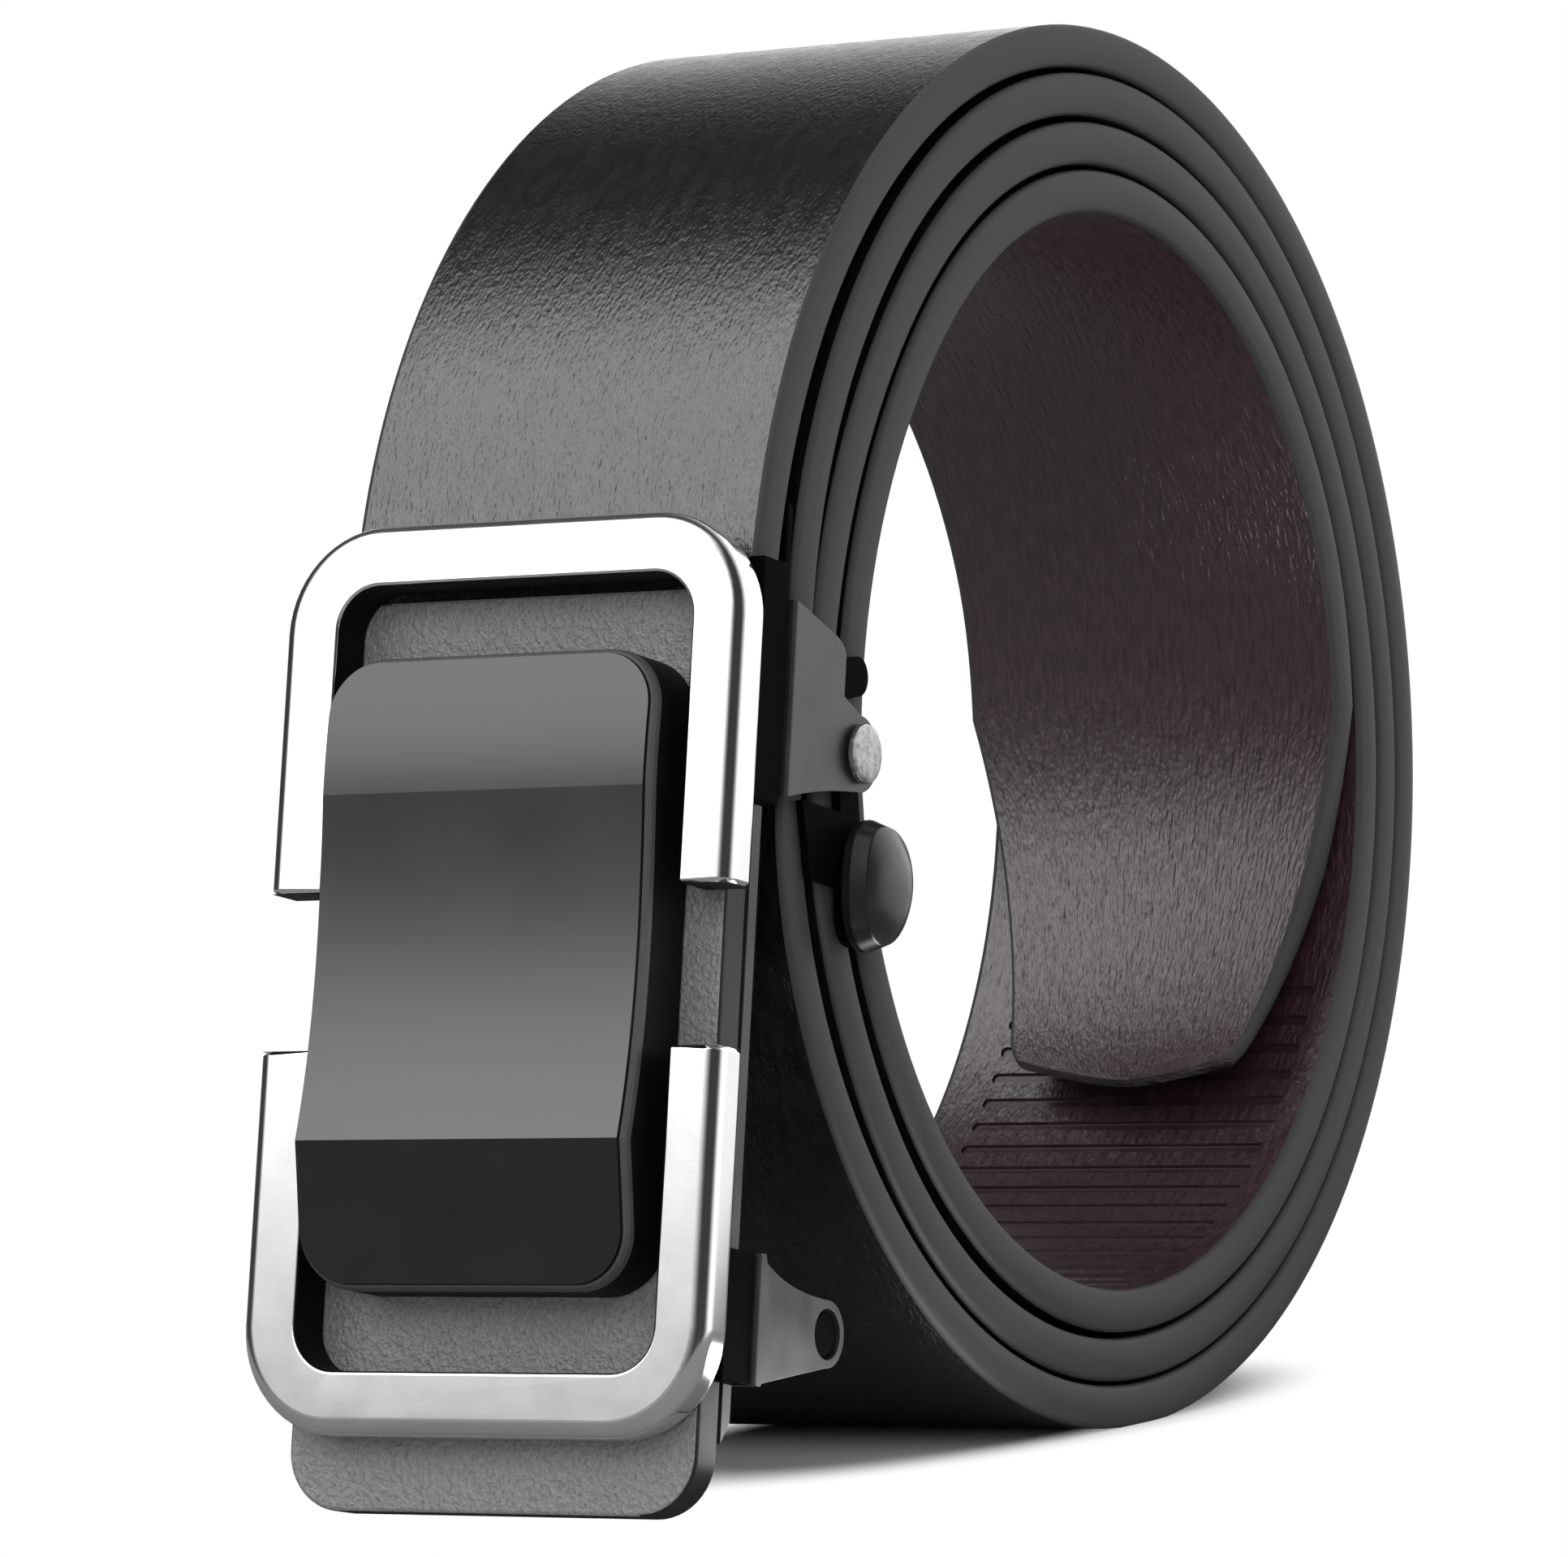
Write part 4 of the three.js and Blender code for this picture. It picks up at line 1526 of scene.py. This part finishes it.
@dataclass
class Rivets:
    """The two rivets on which the lever turns: a shank and a low domed head."""

    bench: Workbench
    shank: float = 1.4
    head_side: float = 0.25
    head_gap: float = 0.3
    dome_steps: int = 5
    dome_power: float = 0.4
    steps: int = 40

    def build(self) -> None:
        """Makes a rivet for each side."""
        for side in Side:
            node = f"rivet_{side.name.lower()}"
            low, high = self.bench.span(node)
            self.build_rivet(node, low, high, side)

    def build_rivet(self, node: str, low: Vector, high: Vector, side: Side) -> None:
        """Spins one rivet.

        Args:
            node: The node that it replaces.
            low: That node's lowest corner.
            high: Its highest corner.
            side: Its side of the buckle.
        """
        inside, outside = (low.x, high.x) if side is Side.RIGHT else (high.x, low.x)
        radius = (high.z - low.z) / 2
        centre = (low + high) / 2
        out = side.value
        under = (self.bench.span("base_plate").high.x + self.head_gap) * out
        profile = [(0.0, inside), (self.shank, inside), (self.shank, under), (radius, under)]
        rim = outside - self.head_side * out
        for step in range(self.dome_steps):
            angle = math.pi / 2 * step / self.dome_steps
            reach = radius * math.cos(angle) ** self.dome_power
            profile.append((reach, rim + (outside - rim) * math.sin(angle)))
        profile.append((0.0, outside))
        bm = bmesh.new()
        points = [bm.verts.new((x, centre.y, centre.z + reach)) for reach, x in profile]
        edges = [bm.edges.new(pair) for pair in zip(points, points[1:])]
        bmesh.ops.spin(
            bm,
            geom=points + edges,
            cent=centre,
            axis=(1.0, 0.0, 0.0),
            angle=2 * math.pi,
            steps=self.steps,
            use_merge=True,
        )
        bmesh.ops.remove_doubles(bm, verts=bm.verts, dist=SAME_PLACE)
        self.bench.finish(bm, f"{node}_turned", (RIVET_STEEL,), "rivet_steel", [node])


@dataclass
class Lever:
    """The release lever: a thin black arm beside the strap, and its polished thumb knob."""

    bench: Workbench
    arm_outer: float = 18.4
    ease: float = 0.1
    pivot_depth: float = 19.0
    set_forward: float = 0.9
    set_up: float = 0.5
    knob_length: float = 10.4
    knob_depth: float = 7.2
    knob_rise: float = 3.6
    smoothing: int = 3
    peak: tuple[float, float] = (0.45, 0.5)
    crown: tuple[tuple[float, float], ...] = ((0.34, 1.02), (0.76, 0.9), (1.05, 0.52))
    outline: tuple[tuple[float, float], ...] = (
        (-0.05, 0.3),
        (0.1, 0.03),
        (0.55, -0.05),
        (1.0, 0.14),
        (1.1, 0.45),
        (0.92, 0.78),
        (0.46, 0.99),
        (0.02, 0.86),
    )

    def build(self) -> None:
        """Makes the arm and the knob, which turn together."""
        self.build_arm()
        self.build_knob()

    def build_arm(self) -> None:
        """Makes the arm from the lever's solid, cut off where the knob begins."""
        bm = self.bench.copy("release_lever")
        cut = bmesh.ops.bisect_plane(
            bm,
            geom=bm.verts[:] + bm.edges[:] + bm.faces[:],
            dist=SAME_PLACE,
            plane_co=(self.arm_outer + 2 * SAME_PLACE, 0.0, 0.0),
            plane_no=(1.0, 0.0, 0.0),
            clear_outer=True,
        )
        rim = [item for item in cut["geom_cut"] if isinstance(item, bmesh.types.BMEdge)]
        bmesh.ops.holes_fill(bm, edges=rim)
        ease_edges(bm, self.ease)
        self.bench.finish(bm, "lever_arm", (BLACK_STEEL,), "black_steel", ["release_lever"], "lever")

    def build_knob(self) -> None:
        """Makes the knob: its outline pulled out in shrinking rings, then smoothed."""
        span = self.bench.span("release_lever")
        front = self.pivot_depth - self.set_forward
        top = span.low.z + self.knob_length - self.set_up
        bm = bmesh.new()
        points = []
        for depth, down in self.outline:
            place = (front + self.knob_depth * depth, top - self.knob_length * down)
            points.append(bm.verts.new((self.arm_outer, *place)))
        bm.faces.new(points)
        depth, down = self.peak
        peak = Vector((0.0, front + self.knob_depth * depth, top - self.knob_length * down))
        about = Matrix.Translation(-peak)
        cap = bm.faces[:]
        reached, size = 0.0, 1.0
        for rise, share in self.crown:
            ring, cap = pull_out(bm, cap, (self.knob_rise * (rise - reached), 0.0, 0.0))
            shrink = share / size
            bmesh.ops.scale(bm, vec=(1.0, shrink, shrink), verts=ring, space=about)
            reached, size = rise, share
        self.bench.finish(
            bm,
            "lever_knob",
            (KNOB_BLACK,),
            "black_steel",
            body="lever",
            smoothing=self.smoothing,
        )


# Studio


class SkySheet(Sheet):
    """The node tree of the world, read by direction."""

    def __init__(self, world: bpy.types.World) -> None:
        """Finds the direction's axes.

        Args:
            world: The world.
        """
        super().__init__(world)
        self.direction = self.nodes.new("ShaderNodeTexCoord").outputs["Generated"]
        split = self.nodes.new("ShaderNodeSeparateXYZ")
        self.join(self.direction, split.inputs[0])
        self.axes = split.outputs

    def math(
        self,
        operation: str,
        first: bpy.types.NodeSocket,
        second: bpy.types.NodeSocket | float,
    ) -> bpy.types.NodeSocket:
        """Works out one value from two.

        Args:
            operation: The operation.
            first: The first value.
            second: The second value, as a socket or a number.

        Returns:
            The result.
        """
        node = self.nodes.new("ShaderNodeMath")
        node.operation = operation
        self.join(first, node.inputs[0])
        if isinstance(second, float):
            node.inputs[1].default_value = second
        else:
            self.join(second, node.inputs[1])
        return node.outputs[0]

    def toward(self, heading: Sequence[float]) -> bpy.types.NodeSocket:
        """Gives how squarely the direction faces a heading.

        Args:
            heading: The heading.

        Returns:
            1 where it faces the heading, and -1 where it faces away.
        """
        node = self.nodes.new("ShaderNodeVectorMath")
        node.operation = "DOT_PRODUCT"
        node.inputs[1].default_value = heading
        self.join(self.direction, node.inputs[0])
        return node.outputs["Value"]

    def curve(
        self,
        source: bpy.types.NodeSocket,
        steps: Sequence[tuple[float, float]],
    ) -> bpy.types.NodeSocket:
        """Reads a value off a curve.

        Args:
            source: The socket, from 0 to 1.
            steps: Places along the curve and its heights there.

        Returns:
            The height.
        """
        ramp = self.nodes.new("ShaderNodeValToRGB")
        points = ramp.color_ramp.elements
        points[0].position, points[1].position = steps[0][0], steps[-1][0]
        for place, _ in steps[1:-1]:
            points.new(place)
        for point, (_, height) in zip(points, steps):
            point.color = grey(height)
        self.join(source, ramp.inputs[0])
        return ramp.outputs[0]

    def light(self, total: bpy.types.NodeSocket) -> None:
        """Lights the world, and shows white behind the belt.

        Args:
            total: The light from each direction.
        """
        seen = self.nodes.new("ShaderNodeMix")
        light_path = self.nodes.new("ShaderNodeLightPath")
        self.join(light_path.outputs["Is Camera Ray"], seen.inputs["Factor"])
        self.join(total, seen.inputs["A"])
        seen.inputs["B"].default_value = 1.0
        background = self.nodes["Background"]
        self.join(seen.outputs["Result"], background.inputs["Strength"])
        background.inputs["Color"].default_value = grey(1.0)


@dataclass
class Studio:
    """The camera, the pale floor and the soft light, in metres and in the row frame.

    The glow is the front's light by its angle in degrees above the level, and glow_sides is where
    that light begins, is full, is still full and ends in x.
    """

    eye: tuple[float, float, float] = (0.29134, -0.53750, 0.05860)
    forward: tuple[float, float, float] = (-0.49274, 0.87012, -0.00989)
    right: tuple[float, float, float] = (0.86963, 0.49199, -0.04115)
    focal_pixels: float = 9300.0
    sensor: float = 36.0
    clip_start: float = 0.01
    aim: tuple[float, float, float] = (0.0, 0.0, 0.05)
    floor_size: float = 60.0
    floor_pale: float = 0.42
    # The floor's painted dim shade as reflections see it.
    floor_reflected_shade: float = 0.15
    shadow_reach: tuple[float, float] = (0.03, 0.075)
    fade_out: tuple[float, float] = (0.45, 0.74)
    # A painted glowing pool on the floor, seen in reflections alone, for a painted highlight on the
    # knob.
    painted_pool_place: tuple[float, float, float] = (0.036, -0.034, 0.0)
    painted_pool_edges: tuple[float, float] = (0.024, 0.012)
    painted_pool_glow: float = 9.0
    fade_behind: tuple[float, float] = (0.1, 0.3)
    behind: tuple[float, float, float] = (0.49, 0.87, 0.0)
    key_place: tuple[float, float, float] = (0.45, -0.85, 0.45)
    key_size: float = 0.8
    key_power: float = 9.0
    top_place: tuple[float, float, float] = (0.0, 0.0, 1.2)
    top_size: float = 1.5
    top_power: float = 9.0
    ambient: float = 0.04
    glow_peak: float = 3.3
    glow: tuple[tuple[float, float], ...] = (
        (-180.0, 0.0),
        (-12.0, 0.25),
        (0.0, 0.3),
        (8.0, 0.25),
        (15.3, 0.3),
        (17.8, 0.9),
        (19.8, 1.7),
        (24.0, 2.6),
        (31.0, 3.1),
        (41.0, 3.3),
        (52.0, 2.8),
        (70.0, 3.1),
        (78.0, 2.2),
        (88.0, 0.06),
        (138.0, 0.02),
        (152.0, 0.25),
        (170.0, 0.85),
    )
    glow_sides: tuple[float, float, float, float] = (-0.9, -0.58, -0.46, 0.4)
    wall_edges: tuple[float, float] = (0.15, 0.92)
    wall_glow: float = 1.6

    def place_camera(self) -> None:
        """Stands the camera where the photograph was taken."""
        data = bpy.data.cameras.new("camera")
        data.sensor_width = self.sensor
        data.lens = self.focal_pixels * self.sensor / PHOTO_WIDTH
        data.clip_start = self.clip_start
        camera = add_object("camera", data)
        ahead, side = Vector(self.forward).normalized(), Vector(self.right).normalized()
        above = side.cross(ahead)
        turn = Matrix((side, above, -ahead)).transposed()
        camera.matrix_world = Matrix.Translation(self.eye) @ turn.to_4x4()
        bpy.context.scene.camera = camera

    def lay_floor(self) -> None:
        """Lays the pale floor, which fades to white away from the belt. Reflections see the floor as a
        painted dim shade, white far behind, with a painted glowing pool at the right front that puts a
        painted highlight on the knob.
        """
        bm = bmesh.new()
        bmesh.ops.create_grid(bm, x_segments=1, y_segments=1, size=self.floor_size / 2)
        floor = add_mesh("floor", bm)
        sheet = NodeSheet("pale floor", Pattern.OBJECT)
        pale = sheet.nodes.new("ShaderNodeBsdfDiffuse")
        pale.inputs["Color"].default_value = grey(self.floor_pale)
        # Reflections see the floor as a painted dim shade, white far behind.
        reflected_shade = sheet.nodes.new("ShaderNodeBsdfDiffuse")
        reflected_shade.inputs["Color"].default_value = grey(self.floor_reflected_shade)
        white = sheet.nodes.new("ShaderNodeEmission")
        reach = sheet.stretched(*(1.0 / length for length in self.shadow_reach))
        away = sheet.measure("LENGTH", None, reach)
        behind = sheet.measure("DOT_PRODUCT", self.behind)
        light_path = sheet.nodes.new("ShaderNodeLightPath")
        seen = sheet.mixed(sheet.fade(away, *self.fade_out), pale.outputs[0], white.outputs[0])
        far = sheet.fade(behind, *self.fade_behind)
        painted_reflected_floor = sheet.mixed(far, reflected_shade.outputs[0], white.outputs[0])
        # A painted glowing pool on the floor, seen in reflections alone, that puts a painted highlight
        # on the knob's lower part.
        painted_pool = sheet.nodes.new("ShaderNodeEmission")
        painted_pool.inputs["Strength"].default_value = self.painted_pool_glow
        near = sheet.fade(sheet.measure("DISTANCE", self.painted_pool_place), *self.painted_pool_edges)
        painted_reflected_floor = sheet.mixed(near, painted_reflected_floor, painted_pool.outputs[0])
        surface = sheet.mixed(light_path.outputs["Is Glossy Ray"], seen, painted_reflected_floor)
        sheet.join(surface, sheet.nodes["Material Output"].inputs["Surface"])
        floor.data.materials.append(sheet.material)

    def hang_light(self, name: str, place: Sequence[float], size: float, power: float) -> None:
        """Hangs a soft square light that points at the belt and shows in no reflection.

        Args:
            name: Its name.
            place: Where it hangs.
            size: Its width.
            power: Its power in watts.
        """
        data = bpy.data.lights.new(name, "AREA")
        data.size = size
        data.energy = power
        light = add_object(name, data)
        light.location = place
        toward = Vector(self.aim) - Vector(place)
        light.rotation_euler = toward.to_track_quat("-Z", "Y").to_euler()
        light.visible_glossy = False

    def light_world(self) -> None:
        """Surrounds the belt with a dim studio: a tall soft box at the front left and a wall behind."""
        world = bpy.data.worlds.new("studio")
        bpy.context.scene.world = world
        sky = SkySheet(world)
        low, full_low, full_high, high = self.glow_sides
        tilt = sky.math("ARCTAN2", sky.axes["Z"], sky.math("MULTIPLY", sky.axes["Y"], -1.0))
        share = sky.math("ADD", sky.math("MULTIPLY", tilt, 0.5 / math.pi), 0.5)
        steps = [(angle / 360.0 + 0.5, glow / self.glow_peak) for angle, glow in self.glow]
        box = sky.curve(share, steps)
        for start, end in ((low, full_low), (high, full_high)):
            box = sky.math("MULTIPLY", box, sky.fade(sky.axes["X"], start, end))
        box = sky.math("MULTIPLY", box, self.glow_peak)
        wall = sky.fade(sky.toward(self.behind), *self.wall_edges, self.wall_glow)
        total = sky.math("ADD", sky.math("ADD", box, wall), self.ambient)
        sky.light(total)

    def build(self) -> None:
        """Sets the studio up, camera first."""
        self.place_camera()
        self.lay_floor()
        self.hang_light("key", self.key_place, self.key_size, self.key_power)
        self.hang_light("top", self.top_place, self.top_size, self.top_power)
        self.light_world()
        bpy.context.scene.view_settings.view_transform = "Standard"


def main() -> None:
    """Builds the studio and every piece of the belt."""
    logging.basicConfig(level=logging.INFO, format="%(name)s %(message)s")
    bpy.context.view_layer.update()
    Studio().build()
    bench = Workbench(frame)
    makers = (
        Strap(bench),
        ChromeFrame(bench),
        WavePlate(bench),
        FacePlate(bench),
        BasePlate(bench),
        SmallSteel(bench),
        Rivets(bench),
        Lever(bench),
    )
    for maker in makers:
        maker.build()


if __name__ == "__main__":
    main()
